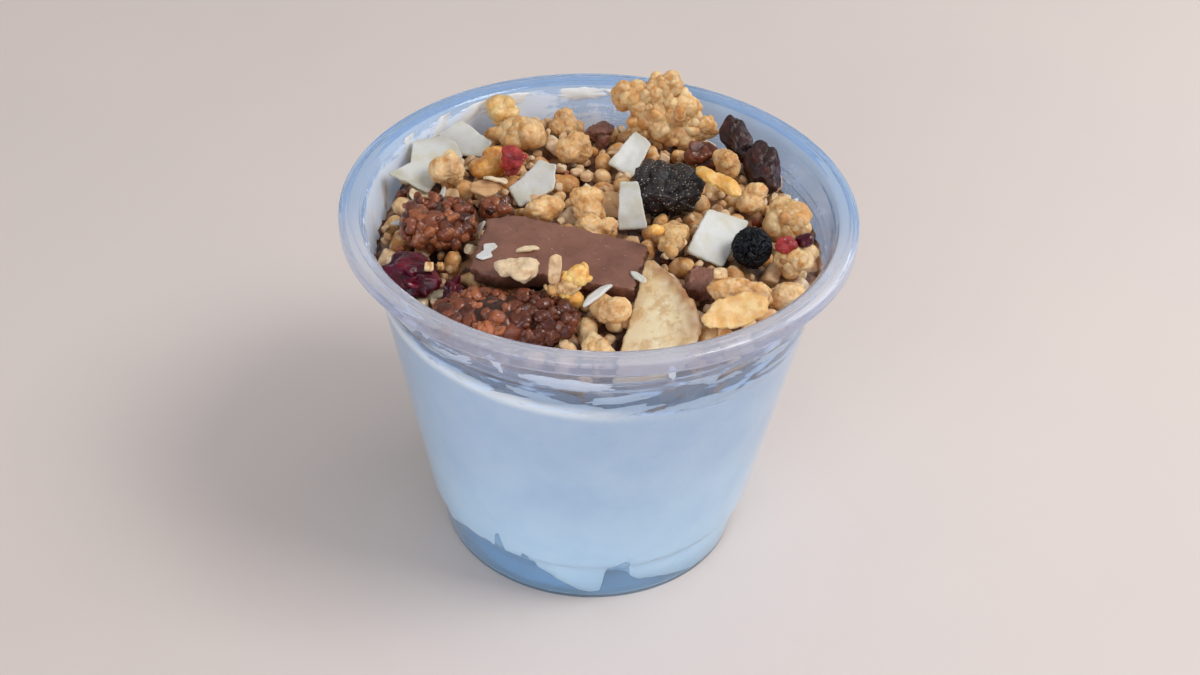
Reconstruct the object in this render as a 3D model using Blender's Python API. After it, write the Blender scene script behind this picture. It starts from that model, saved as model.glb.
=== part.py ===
"""A clear plastic tumbler of yogurt under a heap of muesli with chocolate, coconut, nuts and dried fruit.

Metres, +Z up, with the origin under the middle of the foot. Lengths are written in millimetres and scaled
by MM. The shown side faces -Y.
"""

import math

import bmesh
import bpy
import numpy as np
from mathutils import Euler, Matrix, Vector
from mathutils.bvhtree import BVHTree

MM = 0.001
GAP = 0.3                   # kept between neighbouring pieces

# Tumbler: straight foot, stacking shoulder, tapered wall, rolled lip
CUP_SIDES = 44
HEIGHT = 73.0
RIM_RADIUS = 47.5           # outside of the lip
FOOT_RADIUS = 29.6
FOOT_WIDTH = 2.7            # flat ring that the cup stands on
FOOT_RISE = 1.6             # how far the floor is pushed up inside that ring
SHOULDER = 11.0             # height of the stacking shoulder
SHOULDER_RADIUS = 32.4
TAPER = 0.1818              # outward lean of the wall for each unit of height
NECK = 61.9                 # height where the upper band of the wall starts
NECK_STEP = 0.7             # how far that band stands out
WALL = 0.6
LIP_WIDTH = 4.1
LIP_DROP = 2.7              # height of the skirt that hangs from the lip

# Yogurt
FLOOR = 2.3                 # inside floor of the cup
YOGURT_SIDES = 48
YOGURT_MIDDLE = 57.0        # height of its top in the middle
TOP_SHARES = (0.93, 0.5)    # where its top has rings of points, as shares of the radius
SIDE_RINGS = (24.0, 42.0)   # heights of the plain rings on its side
# Line where its top meets the wall: angle in degrees from +X, height
YOGURT_LINE = [(-137, 57.9), (-115, 57.0), (-91, 56.7), (-78, 55.8), (-62, 54.6), (-50, 54.3),
               (-20, 55.0), (20, 56.2), (60, 57.5), (100, 58.4), (150, 58.8), (190, 58.3)]
# Its lower edge on the wall, above which it fills the cup and below which air pockets are left at the foot
YOGURT_EDGE = [(-154, 5.4), (-137, 10.4), (-130, 11.0), (-122, 15.2), (-119, 14.6), (-117, 10.4),
               (-112, 12.8), (-108, 8.0), (-101, 5.2), (-92, 2.6), (-84, 2.0), (-81, 10.2), (-75, 12.1),
               (-69, 5.0), (-60, 3.6), (-46, 1.3), (-30, 1.3)]
HIDDEN_POCKETS = 6          # on the far side, spread evenly, each with a height drawn between these two
POCKET_HEIGHT = (3.0, 9.5)

# Heap of muesli
HEAP_SIDES = 36
HEAP_EDGE = 63.0            # height of its core close to the wall, and how much higher the middle is
HEAP_RISE = 4.5
HEAP_RADIUS = 42.0
CORE_SIDE = 39.5            # radius where its side is cut down to the dome
CORE_RINGS = (38.6, 33.0, 26.0, 18.0, 9.0)
# Swells and dents of the core: x, y, radius, height
SWELLS = [(12, 31, 11, 1.2), (-18, 32, 9, 3.2), (8, -38, 9, -6.6), (-33, 15, 9, 4.2), (29, 24, 8, 2.8),
          (27, -12, 9, 1.4), (-26, 27, 7, 1.2), (-2, -36, 6, 1.5), (31, 4, 8, 0.8)]
SMALL_PLACES = 420          # tried for its small pieces, on a sunflower spiral
SMALL_SPACING = 0.56        # least distance between two small pieces, as a share of their sizes together
SMALL_REACH = 39.6
STANDS_OUT = 0.32           # share of its size that a small piece's middle stands above the core

# Lobes of the big cluster at the back and of the small bunch on the bar, from their middle: x, y, z, size
BACK_LOBES = [(0.2, 1.0, 1.6, 8.6), (3.2, 0.0, 0.2, 8.0), (-3.0, 0.0, -0.8, 7.0), (-4.6, 0.4, -3.6, 6.6),
              (-1.0, -1.6, -3.8, 8.0), (3.0, -1.0, -4.6, 8.2), (4.8, 0.2, -1.6, 6.6), (0.6, 0.5, 4.6, 6.0),
              (-2.4, 0.5, 3.8, 6.0), (-5.4, 0.0, 2.6, 6.2), (-8.4, 0.0, 2.6, 6.4), (8.0, 0.0, -3.8, (6.8, 5.0, 4.6))]
BUNCH_LOBES = [(-2.4, 0.2, 3.2, (2.4, 2.4, 5.0)), (1.9, 0.2, 2.0, (4.6, 3.8, 4.4)), (-0.2, 0.0, -0.2, 4.6),
               (-3.0, -0.4, -2.0, 3.6), (0.4, -0.6, -3.0, 4.6)]

PITCH = 2.6                 # of the waves on a lump, in radians for each unit of length
GOLDEN_ANGLE = math.pi * (3 - math.sqrt(5))
SEED = 11


def finish(name, color, roughness, transmission=0.0):
    """The material of one kind of piece; the colour is sRGB in 0 to 255."""
    material = bpy.data.materials.new(name)
    material.use_nodes = True
    shader = material.node_tree.nodes["Principled BSDF"]
    linear = [((c / 255 + 0.055) / 1.055) ** 2.4 for c in color]
    shader.inputs["Base Color"].default_value = (*linear, 1.0)
    shader.inputs["Roughness"].default_value = roughness
    shader.inputs["Metallic"].default_value = 0.0
    shader.inputs["Transmission Weight"].default_value = transmission
    return material


def solid(name, points, faces, material=None):
    """An object from points in millimetres and triangles."""
    mesh = bpy.data.meshes.new(name)
    mesh.from_pydata((np.asarray(points) * MM).tolist(), [], [tuple(int(i) for i in f) for f in faces])
    if material is not None:
        mesh.materials.append(material)
    mesh.update()
    piece = bpy.data.objects.new(name, mesh)
    bpy.context.scene.collection.objects.link(piece)
    return piece


def wrapped(low, rows, high):
    """Points and triangles of a closed skin: rows of points between a lowest and a highest point.

    Each row goes once round. The triangles of the lower half are split the other way round, so that both
    faces of a thin chip match."""
    count, sides, _ = rows.shape
    points = np.vstack([[low], rows.reshape(-1, 3), [high]])
    at = 1 + np.arange(count * sides).reshape(count, sides)
    after = np.roll(at, -1, axis=1)
    faces = [np.stack([np.zeros(sides, int), after[0], at[0]], 1)]
    for row in range(count - 1):
        a, b, c, d = at[row], after[row], after[row + 1], at[row + 1]
        if row < (count - 1) // 2:
            faces += [np.stack([a, b, d], 1), np.stack([b, c, d], 1)]
        else:
            faces += [np.stack([a, b, c], 1), np.stack([a, c, d], 1)]
    faces.append(np.stack([np.full(sides, len(points) - 1), at[-1], after[-1]], 1))
    return points, np.vstack(faces)


def turned(profile, sides):
    """A profile of (radius, height) turned about Z. It starts and ends on the axis."""
    angle = np.arange(sides) * 2 * math.pi / sides
    ring = np.array(profile[1:-1])
    rows = np.empty((len(ring), sides, 3))
    rows[..., 0] = ring[:, :1] * np.cos(angle)
    rows[..., 1] = ring[:, :1] * np.sin(angle)
    rows[..., 2] = ring[:, 1:]
    return wrapped((0, 0, profile[0][1]), rows, (0, 0, profile[-1][1]))


def wall_points():
    """Outer side of the wall as (radius, height), foot to lip."""
    neck_radius = SHOULDER_RADIUS + (NECK - SHOULDER) * TAPER
    return [
        (FOOT_RADIUS, 0.0),
        (FOOT_RADIUS + 0.6, 0.7),
        (FOOT_RADIUS + 1.3, SHOULDER - 1.8),
        (FOOT_RADIUS + 1.8, SHOULDER - 0.8),
        (SHOULDER_RADIUS, SHOULDER),
        (neck_radius, NECK),
        (neck_radius + NECK_STEP, NECK + 0.9),
        (neck_radius + NECK_STEP + 1.1, HEIGHT - 1.7),
    ]


def inner_wall():
    """Inner side of the wall as (radius, height), foot to lip."""
    return [(radius - WALL, height + (0.7 if height == 0 else 0.1)) for radius, height in wall_points()]


def inner_radius(height):
    radii, heights = zip(*inner_wall())
    return np.interp(height, heights, radii)


def make_cup(material):
    outer, inner = wall_points(), inner_wall()
    ring_inside = FOOT_RADIUS - FOOT_WIDTH
    under = [(0, FOOT_RISE), (ring_inside - 1.3, FOOT_RISE), (ring_inside, 0)]
    lip = [
        (RIM_RADIUS - LIP_WIDTH + 0.7, HEIGHT - WALL),
        (RIM_RADIUS - 1.2, HEIGHT - WALL),
        (RIM_RADIUS - WALL, HEIGHT - 1.2),
        (RIM_RADIUS - WALL, HEIGHT - LIP_DROP),
        (RIM_RADIUS, HEIGHT - LIP_DROP),
        (RIM_RADIUS, HEIGHT - 1.0),
        (RIM_RADIUS - 0.3, HEIGHT - 0.3),
        (RIM_RADIUS - 1.0, HEIGHT),
        (RIM_RADIUS - LIP_WIDTH + 1.0, HEIGHT),
        (RIM_RADIUS - LIP_WIDTH + 0.2, HEIGHT - 0.4),
    ]
    floor = [(ring_inside + 0.3, 0.7), (ring_inside - 1.0, FLOOR), (0, FLOOR)]
    return solid("cup", *turned(under + outer + lip + inner[::-1] + floor, CUP_SIDES), material)


def round_the_cup(stops, angle):
    """A height read at an angle in degrees from (angle, height) stops that go once round."""
    angles, heights = zip(*stops)
    return np.interp(angle, angles, heights, period=360)


def yogurt_top(x, y):
    """Height of the yogurt's top: the line on the wall, sinking or rising to the middle."""
    angle = np.degrees(np.arctan2(y, x))
    share = np.clip(np.hypot(x, y) / inner_radius(YOGURT_MIDDLE), 0, 1) ** 2
    return YOGURT_MIDDLE + (round_the_cup(YOGURT_LINE, angle) - YOGURT_MIDDLE) * share


def pocket_edge():
    """Stops of the yogurt's lower edge: the named ones, then hidden pockets, as (angle, height)."""
    draw = np.random.default_rng(SEED)
    start, stop = YOGURT_EDGE[-1][0], YOGURT_EDGE[0][0] + 360
    step = (stop - start) / (HIDDEN_POCKETS + 1)
    hidden = []
    for number in range(1, HIDDEN_POCKETS + 1):
        middle, tall = start + number * step, draw.uniform(*POCKET_HEIGHT)
        hidden.append((middle - 0.3 * step, 1.6))
        hidden.append((middle - 0.1 * step, tall))
        hidden.append((middle + 0.15 * step, 0.8 * tall))
    return YOGURT_EDGE + hidden


def make_yogurt(material):
    """Fills the cup up to its line, with air pockets left under its lower edge at the foot."""
    stops = pocket_edge()
    even = np.linspace(-180, 180, YOGURT_SIDES, endpoint=False)
    angle = np.sort(np.concatenate([even, [a for a, h in stops if h > POCKET_HEIGHT[1]]]))
    keep = np.append(True, np.diff(angle) > 1.0)
    angle = angle[keep]
    edge, top = round_the_cup(stops, angle), round_the_cup(YOGURT_LINE, angle)

    # Further from the wall where the edge climbs over the shoulder, which its long triangles would cut off
    clear = GAP + 0.9 * np.clip((edge - 2) / 4, 0, 1)

    def at_wall(height, clear=GAP):
        return inner_radius(height) - clear, height

    rows = [(FOOT_RADIUS - 4.0 - 0.35 * edge, np.full_like(edge, FLOOR + 0.8)),
            (at_wall(edge)[0] - 1.5 - 0.15 * edge, 1.1 + 0.36 * edge),
            at_wall(edge, clear)]
    for number, (_, corner) in enumerate(inner_wall()[2:5]):
        rows.append(at_wall(np.maximum(corner, edge + 0.2 * (number + 1)), clear))
    rows += [at_wall(np.full_like(edge, height)) for height in SIDE_RINGS]
    rows.append(at_wall(top))
    radius = inner_radius(top)
    turn = np.radians(angle)
    for share in TOP_SHARES:
        x, y = share * radius * np.cos(turn), share * radius * np.sin(turn)
        rows.append((share * radius, yogurt_top(x, y)))
    grid = np.array([np.stack([r * np.cos(turn), r * np.sin(turn), z], 1) for r, z in rows])
    return solid("yogurt", *wrapped((0, 0, FLOOR + GAP), grid, (0, 0, YOGURT_MIDDLE)), material)


def core_top(x, y):
    """Height of the heap's core: a low dome with slow waves, swells and dents."""
    share = np.hypot(x, y) / HEAP_RADIUS
    height = HEAP_EDGE + HEAP_RISE * (1 - share**2)
    height = height + 0.5 * np.sin(0.21 * x + 0.09 * y + 1.0) * np.cos(0.17 * y - 0.11 * x)
    for sx, sy, radius, rise in SWELLS:
        height = height + rise * np.exp(-((x - sx) ** 2 + (y - sy) ** 2) / radius**2)
    return height


def make_core():
    """The heap without its small pieces: from just above the yogurt to the dome, inside the wall."""
    turn = np.arange(HEAP_SIDES) * 2 * math.pi / HEAP_SIDES
    line = round_the_cup(YOGURT_LINE, np.degrees(turn)) + GAP
    side = np.minimum(NECK, core_top(CORE_SIDE * np.cos(turn), CORE_SIDE * np.sin(turn)))

    def ring(radius, height_at, lift=0.0):
        return np.full_like(turn, radius), height_at(radius * np.cos(turn), radius * np.sin(turn)) + lift

    rows = [ring(share * inner_radius(YOGURT_MIDDLE), yogurt_top, GAP) for share in TOP_SHARES[::-1]]
    rows.append((inner_radius(line) - GAP, line))
    rows.append((inner_radius(side) - GAP, side))
    rows += [ring(radius, core_top) for radius in CORE_RINGS]
    grid = np.array([np.stack([r * np.cos(turn), r * np.sin(turn), z], 1) for r, z in rows])
    return wrapped((0, 0, YOGURT_MIDDLE + GAP), grid, (0, 0, core_top(0.0, 0.0)))


def ball(detail):
    """Points of an icosphere of radius 1 and its triangles."""
    work = bmesh.new()
    bmesh.ops.create_icosphere(work, subdivisions=detail, radius=1.0)
    points = np.array([v.co for v in work.verts])
    faces = [[v.index for v in f.verts] for f in work.faces]
    work.free()
    return points, faces


def waves(points, seed, count=5):
    """Sum of sine waves of unit size in seeded directions, read at points near the unit sphere."""
    draw = np.random.default_rng(seed)
    ways = draw.normal(size=(count, 3)) * PITCH / math.sqrt(3)
    starts = draw.uniform(0, 2 * math.pi, count)
    return np.sin(points @ ways.T + starts).sum(1) / math.sqrt(count)


def lump(size, seed, detail=2, rough=0.12):
    """A ball of the given size, pushed in and out by waves."""
    points, faces = ball(detail)
    return points * (1 + rough * waves(points, seed))[:, None] * np.array(size) / 2, faces


def dice(size, seed):
    """A small cut cube with uneven corners."""
    draw = np.random.default_rng(seed)
    corners = np.array([(x, y, z) for x in (-1, 1) for y in (-1, 1) for z in (-1, 1)]) * 0.5
    corners = corners * (1 + draw.uniform(-0.22, 0.22, (8, 3))) * size
    quads = [(0, 1, 3, 2), (4, 6, 7, 5), (0, 4, 5, 1), (2, 3, 7, 6), (0, 2, 6, 4), (1, 5, 7, 3)]
    return corners, [t for a, b, c, d in quads for t in ((a, b, c), (a, c, d))]


def sides_of(corners, per_side):
    """Points along the sides of a polygon, per_side to a side."""
    corners = np.array(corners, float)
    share = np.arange(per_side)[:, None] / per_side
    return np.vstack([a + (b - a) * share for a, b in zip(corners, np.roll(corners, -1, axis=0))])


def oval(length, width, sides):
    turn = np.arange(sides) * 2 * math.pi / sides
    return np.stack([length / 2 * np.cos(turn), width / 2 * np.sin(turn)], 1)


def chip(outline, thickness, curl=(0.0, 0.0), ripple=0.0, seed=0, rings=2):
    """A thin bent flake: its outline shrunk to the middle ring by ring.

    It is bent by curl along X and Y and by ripples."""
    middle = outline.mean(0)
    shares = np.linspace(1, 0, rings + 1)[:-1]
    flat = np.array([middle + (outline - middle) * share for share in shares])
    span = np.abs(outline - middle).max()

    def bend(xy):
        unit = (xy - middle) / span
        wave = waves(np.concatenate([unit, 0 * unit[..., :1]], -1).reshape(-1, 3), seed, count=3)
        return (curl[0] * unit[..., 0] ** 2 + curl[1] * unit[..., 1] ** 2
                + ripple * wave.reshape(unit.shape[:-1]))

    sheet = np.concatenate([flat, bend(flat)[..., None]], -1)
    hub = np.array([*middle, bend(middle[None])[0]])
    half = np.array([0, 0, thickness / 2])
    return wrapped(hub - half, np.concatenate([sheet[::-1] - half, sheet + half]), hub + half)


def slab(outline, thickness, bevel, seed=0, uneven=0.0):
    """A block with a bevelled edge round its outline and an uneven top."""
    middle = outline.mean(0)
    inner = middle + (outline - middle) * (1 - bevel / np.abs(outline - middle).max())
    low, high = -thickness / 2, thickness / 2
    ripples = uneven * waves(np.concatenate([outline, 0 * outline[:, :1]], 1) / 4, seed)

    def at(xy, height):
        return np.concatenate([xy, np.broadcast_to(height, len(xy))[:, None]], 1)

    rows = np.array([at(inner, low), at(outline, low + bevel), at(outline, high - bevel + ripples),
                     at(inner, high + ripples)])
    return wrapped((*middle, low), rows, (*middle, high))


def turned_by(turn):
    """A turn in degrees, first about Z in the piece's own plane, then leaning about Y and X."""
    return Euler([math.radians(t) for t in turn], "ZYX")


def moved(shape, place, turn=(0, 0, 0)):
    """A shape turned by degrees, as turned_by says, then moved."""
    points, faces = shape
    return points @ np.array(turned_by(turn).to_matrix()).T + np.array(place), faces


def fused(name, shapes, material=None):
    """One closed body from overlapping shapes: a Boolean union on a collection, its largest shell kept."""
    base = solid(name, *shapes[0], material)
    if len(shapes) == 1:
        return base
    group = bpy.data.collections.new(name + "_parts")
    for number, shape in enumerate(shapes[1:]):
        part = solid(f"{name}_part_{number}", *shape)
        bpy.context.scene.collection.objects.unlink(part)
        group.objects.link(part)
    union = base.modifiers.new("union", "BOOLEAN")
    union.operation = "UNION"
    union.operand_type = "COLLECTION"
    union.collection = group
    union.solver = "EXACT"
    bpy.context.view_layer.update()
    joined = bpy.data.meshes.new_from_object(base.evaluated_get(bpy.context.evaluated_depsgraph_get()))
    base.modifiers.clear()
    base.data = joined
    for part in list(group.objects):
        bpy.data.objects.remove(part)
    bpy.data.collections.remove(group)
    keep_largest(joined)
    return base


def keep_largest(mesh):
    """Drops every shell but the largest, and merges points that coincide."""
    work = bmesh.new()
    work.from_mesh(mesh)
    bmesh.ops.remove_doubles(work, verts=work.verts, dist=0.02 * MM)
    bmesh.ops.triangulate(work, faces=work.faces)
    left, shells = set(work.verts), []
    while left:
        shell, edge = set(), [left.pop()]
        while edge:
            vert = edge.pop()
            shell.add(vert)
            edge += [n for e in vert.link_edges if (n := e.other_vert(vert)) in left]
            left -= set(edge)
        shells.append(shell)
    shells.sort(key=len)
    bmesh.ops.delete(work, geom=[v for shell in shells[:-1] for v in shell], context="VERTS")
    work.to_mesh(mesh)
    work.free()


def tree_of(points, faces):
    return BVHTree.FromPolygons([Vector(p) for p in points], [tuple(int(i) for i in f) for f in faces])


def grown(points, faces, by):
    """The points moved outwards along their normals."""
    faces = np.asarray(faces)
    a, b, c = points[faces[:, 0]], points[faces[:, 1]], points[faces[:, 2]]
    across = np.cross(b - a, c - a)
    normals = np.zeros_like(points)
    for column in range(3):
        np.add.at(normals, faces[:, column], across)
    length = np.linalg.norm(normals, axis=1, keepdims=True)
    return points + normals / np.maximum(length, 1e-9) * by


class Pile:
    """What already stands, as one tree, and the way that a new piece comes down on it."""

    def __init__(self):
        self.points = np.zeros((0, 3))
        self.faces = np.zeros((0, 3), int)
        self.tree = None

    def add(self, points, faces):
        self.faces = np.vstack([self.faces, np.asarray(faces) + len(self.points)])
        self.points = np.vstack([self.points, points])
        self.tree = tree_of(self.points, self.faces)

    def touches(self, points, faces):
        return bool(self.tree.overlap(tree_of(points, faces)))

    def holds(self, point):
        """Whether the point is inside a solid: the first skin above it then faces up."""
        place, normal, _, _ = self.tree.ray_cast(Vector(point), Vector((0, 0, 1)))
        return place is not None and normal.z > 0

    def settle(self, points, faces, start=12.0, coarse=0.4, fine=0.1):
        """How far the points come down from start above their place before they would be closer than GAP."""
        skin = grown(points, faces, GAP)
        lift = start
        for step in (coarse, fine):
            while not self.touches(skin + (0, 0, lift - step), faces):
                lift -= step
        return lift


def mesh_arrays(piece):
    """World points in millimetres and triangles of an object, as placed by its location and rotation."""
    matrix = Matrix.LocRotScale(piece.location, piece.rotation_euler, None)
    points = np.array([matrix @ v.co for v in piece.data.vertices]) / MM
    piece.data.calc_loop_triangles()
    return points, np.array([t.vertices[:] for t in piece.data.loop_triangles])


def cluster(name, size, count, bit, material, seed):
    """A baked cluster: a lump with bits of the given size stuck all over it on a sunflower spiral."""
    draw = np.random.default_rng(seed)
    shapes = [lump(np.array(size) * 0.7, seed, detail=1, rough=0.05)]
    for number in range(count):
        height = 1 - 2 * (number + 0.5) / count
        turn = number * GOLDEN_ANGLE
        across = math.sqrt(1 - height**2)
        way = np.array([across * math.cos(turn), across * math.sin(turn), height])
        share = draw.uniform(0.85, 1.2)
        place = way * (np.array(size) - bit * 0.9 * share) / 2
        piece = lump((bit * share,) * 3, seed + number, detail=1, rough=0.1)
        shapes.append(moved(piece, place, draw.uniform(0, 360, 3)))
    return fused(name, shapes, material)


def bunch(name, lobes, material, seed):
    """Lumps stuck together. Each lobe is (x, y, z, size), where size is one number or three."""
    shapes = [moved(lump(np.ones(3) * size, seed + number, detail=1, rough=0.1), place)
              for number, (*place, size) in enumerate(lobes)]
    return fused(name, shapes, material)


def small_shape(draw):
    """One small piece of the heap: a puffed or nut lump, a cut cube or an oat flake, as shape and size."""
    kind, seed = draw.uniform(), int(draw.integers(1 << 30))
    if kind < 0.5:
        size = draw.uniform(3.6, 5.4)
        return lump(size * draw.uniform(0.85, 1.15, 3), seed, detail=1, rough=0.08), size
    if kind < 0.8:
        size = draw.uniform(3.0, 4.2)
        return dice(size, seed), size
    size = draw.uniform(4.6, 6.2)
    return chip(oval(size, size * 0.75, 7), 1.2, curl=(0.5, 0.2), rings=1), 0.7 * size


def make_heap(core, toppings, material):
    """The core with the small pieces that show fused on.

    Each is made smaller or skipped where it would meet a topping."""
    draw = np.random.default_rng(SEED)
    shapes, taken = [core], []
    for number in range(SMALL_PLACES):
        radius = SMALL_REACH * math.sqrt((number + 0.5) / SMALL_PLACES)
        turn = number * GOLDEN_ANGLE
        shape, size = small_shape(draw)
        tilt = (*draw.uniform(-35, 35, 2), draw.uniform(0, 360))
        x, y = radius * math.cos(turn), radius * math.sin(turn)
        z = float(core_top(x, y)) + STANDS_OUT * size * draw.uniform(0.6, 1.4)
        if any(math.hypot(x - u, y - v) < SMALL_SPACING * (size + other) for u, v, other in taken):
            continue
        for share in (1.0, 0.8):
            place = (x, y, z - (1 - share) * size * STANDS_OUT)
            points, faces = moved((shape[0] * share, shape[1]), place, tilt)
            if not toppings.touches(grown(points, faces, GAP), faces) and not toppings.holds((x, y, z)):
                shapes.append((points, faces))
                taken.append((x, y, size * share))
                break
    return fused("muesli", shapes, material)


def make_finishes():
    return {
        "clear": finish("clear_plastic", (196, 212, 232), 0.08, 0.9),
        "yogurt": finish("yogurt", (236, 238, 240), 0.4),
        "muesli": finish("muesli", (201, 160, 112), 0.75),
        "oat": finish("baked_oat", (208, 158, 104), 0.7),
        "cocoa": finish("cocoa_cluster", (112, 66, 52), 0.45),
        "chocolate": finish("chocolate", (122, 90, 84), 0.4),
        "coconut": finish("coconut", (222, 218, 206), 0.6),
        "banana": finish("banana_chip", (224, 198, 152), 0.65),
        "cranberry": finish("cranberry", (74, 12, 24), 0.3),
        "raisin": finish("raisin", (48, 32, 32), 0.45),
        "dark_fruit": finish("dark_fruit", (34, 26, 32), 0.5),
        "blueberry": finish("blueberry", (26, 32, 46), 0.5),
        "raspberry": finish("raspberry", (168, 42, 42), 0.5),
        "mango": finish("mango", (232, 174, 86), 0.5),
        "corn": finish("corn_flake", (232, 190, 112), 0.6),
    }


def chocolate_bar():
    corners = [(-13.7, -8.2), (-9.0, -9.3), (-1.5, -6.6), (6.6, -6.8), (15.2, -6.4), (15.2, 5.4), (3.0, 6.8),
               (-9.5, 7.8), (-14.4, 5.6)]
    outline = sides_of(corners, 1)
    return slab(outline, 5.0, 0.7, seed=3, uneven=0.15)


def banana_chip():
    """Part of a fried slice: one cut edge along X, a tip at -X, and the slice's round edge towards +Y."""
    outline = [(-11.2, -6.3), (-2.0, -6.0), (6.0, -6.0), (12.6, -5.8), (12.2, -2.6), (10.4, 1.8), (7.4, 5.0),
               (3.4, 6.6), (-0.8, 7.0), (-4.2, 5.0), (-7.6, 1.2), (-10.6, -3.6)]
    return chip(sides_of(outline, 1), 1.8, curl=(0.8, 0.0), ripple=0.2, seed=5)


def chocolate_chunk(length, width, thick, seed):
    corners = [(-0.5, -0.42), (0.38, -0.5), (0.52, 0.3), (-0.1, 0.52), (-0.46, 0.34)]
    return slab(sides_of([(x * length, y * width) for x, y in corners], 2), thick, 0.6, seed=seed, uneven=0.3)


def coconut_flake(corners, curl, seed, per_side=2):
    return chip(sides_of(corners, per_side), 0.9, curl=curl, ripple=0.25, seed=seed)


def mango_stick():
    """A tapered, slightly bent stick along X."""
    points, faces = lump((12.0, 3.8, 3.2), 21, detail=2, rough=0.1)
    points[:, 2] -= 0.9 * (points[:, 0] / 6) ** 2
    return points, faces


def topping_list():
    """The first toppings in the order of laying them down.

    Each is (name, shape, finish, place x y, turn in degrees)."""
    flat_flake = [(-6.3, -5.6), (1.4, -6.2), (6.4, 5.2), (-2.2, 5.2)]
    return [
        ("chocolate_chunk_right", chocolate_chunk(6.6, 6.4, 4.4, 4), "chocolate", (18.8, -18.6), (6, -4, 0)),
        ("chocolate_bar", chocolate_bar(), "chocolate", (-7.0, -15.2), (3, 0, -12)),
        ("banana_chip", banana_chip(), "banana", (11.8, -29.6), (29, -17, -105)),
        ("chocolate_chunk_back", chocolate_chunk(6.5, 6, 5, 5), "cocoa", (19.6, 22.4), (12, 8, 40)),
        ("chocolate_chunk_far", chocolate_chunk(5.5, 5, 4.5, 6), "chocolate", (-0.9, 31.2), (0, 10, 70)),
        ("cranberry_large", lump((11.0, 8.8, 7.0), 31, 2, 0.08), "cranberry", (-32.4, -18.0), (0, 8, -24)),
        ("cranberry_small", lump((4.2, 6.0, 5.2), 32, 2, 0.08), "cranberry", (-25.0, -21.8), (0, 0, 0)),
        ("dark_fruit", lump((14.6, 12.4, 9.6), 33, 3, 0.13), "dark_fruit", (12.9, 6.4), (0, 8, -15)),
        ("nut_lump_middle", lump((6.8, 7.0, 5.0), 75), "oat", (13.8, -6.2), (0, 0, 30)),
        ("coconut_right", coconut_flake(flat_flake, (0.4, 0.3), 46), "coconut", (21.4, -6.4), (25, 26, -3)),
        ("blueberry", lump((7.8, 7.8, 7.4), 34, 2, 0.03), "blueberry", (27.5, -9.8), (0, 0, 0)),
        ("raisin_a", lump((6.2, 11.6, 6.0), 35, 2, 0.12), "raisin", (26.2, 25.6), (38, 0, 20)),
        ("raisin_b", lump((6.6, 10.0, 6.0), 36, 2, 0.12), "raisin", (31.0, 17.6), (30, 0, 20)),
    ]


def lump_list():
    """Clusters and large nuts in the order of laying them down, after the big back cluster.

    Each is (name, size, count of bits, size of a bit, finish, place x y, turn). With no bits it is one lump."""
    return [
        ("cocoa_cluster_left", (15.5, 13.5, 8.0), 13, 4.2, "cocoa", (-29.4, -3.8), (0, 0, 15)),
        ("cocoa_cluster_front", (27.0, 11.6, 7.5), 18, 4.8, "cocoa", (-15.4, -30.2), (0, 0, -6)),
        ("cocoa_bits_middle", (8.0, 5.6, 5.2), 4, 4.0, "cocoa", (-19.4, 2.4), (0, 0, 10)),
        ("oat_cluster_back_left", (11.0, 9.0, 7.5), 6, 5.4, "oat", (-15.6, 25.6), (0, 0, -20)),
        ("oat_flake_back_left", (8.0, 5.6, 8.4), 4, 4.6, "oat", (-20.0, 34.2), (0, 0, 20)),
        ("oat_cluster_right", (10.0, 9.5, 7.5), 5, 5.6, "oat", (35.0, 2.6), (0, 0, 0)),
        ("oat_cluster_front", (7.0, 6.0, 6.4), 4, 4.4, "oat", (0.4, -34.6), (0, 0, 0)),
        ("fruit_lump_left", (8.2, 6.2, 5.6), 0, 0, "mango", (-21.6, 17.0), (0, 0, 30)),
        ("nut_lump_back", (7.4, 6.6, 6.4), 0, 0, "oat", (-5.4, 23.0), (0, 0, 0)),
        ("nut_lump_far", (6.8, 6.2, 6.0), 0, 0, "oat", (-7.9, 34.4), (0, 0, 0)),
        ("nut_lump_center_a", (7.4, 6.0, 5.6), 0, 0, "oat", (-9.9, 0.4), (0, 0, 20)),
        ("nut_lump_center_b", (6.4, 6.2, 5.6), 0, 0, "oat", (-2.2, 1.6), (0, 0, 0)),
        ("nut_lump_center_c", (8.0, 5.6, 5.2), 0, 0, "oat", (-0.6, -5.2), (0, 0, -20)),
        ("nut_lump_right_back", (5.8, 6.4, 6.2), 0, 0, "oat", (24.0, 17.4), (0, 0, 0)),
        ("nut_lump_right", (5.6, 5.4, 5.2), 0, 0, "oat", (28.6, 9.2), (0, 0, 0)),
        ("oat_cluster_middle", (6.6, 5.8, 6.8), 4, 4.4, "oat", (13.6, -13.0), (0, 0, 0)),
        ("nut_lump_front_a", (11.4, 6.2, 6.2), 0, 0, "oat", (25.0, -24.4), (0, 0, 6)),
        ("nut_lump_front_b", (7.4, 5.6, 6.0), 0, 0, "oat", (33.0, -19.2), (0, 0, 0)),
        ("oat_cluster_front_right", (9.8, 5.8, 6.4), 5, 4.6, "oat", (34.9, -13.0), (0, 0, 15)),
        ("nut_lump_front_middle", (7.2, 5.8, 6.4), 0, 0, "oat", (2.6, -28.2), (0, 0, 0)),
    ]


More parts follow.
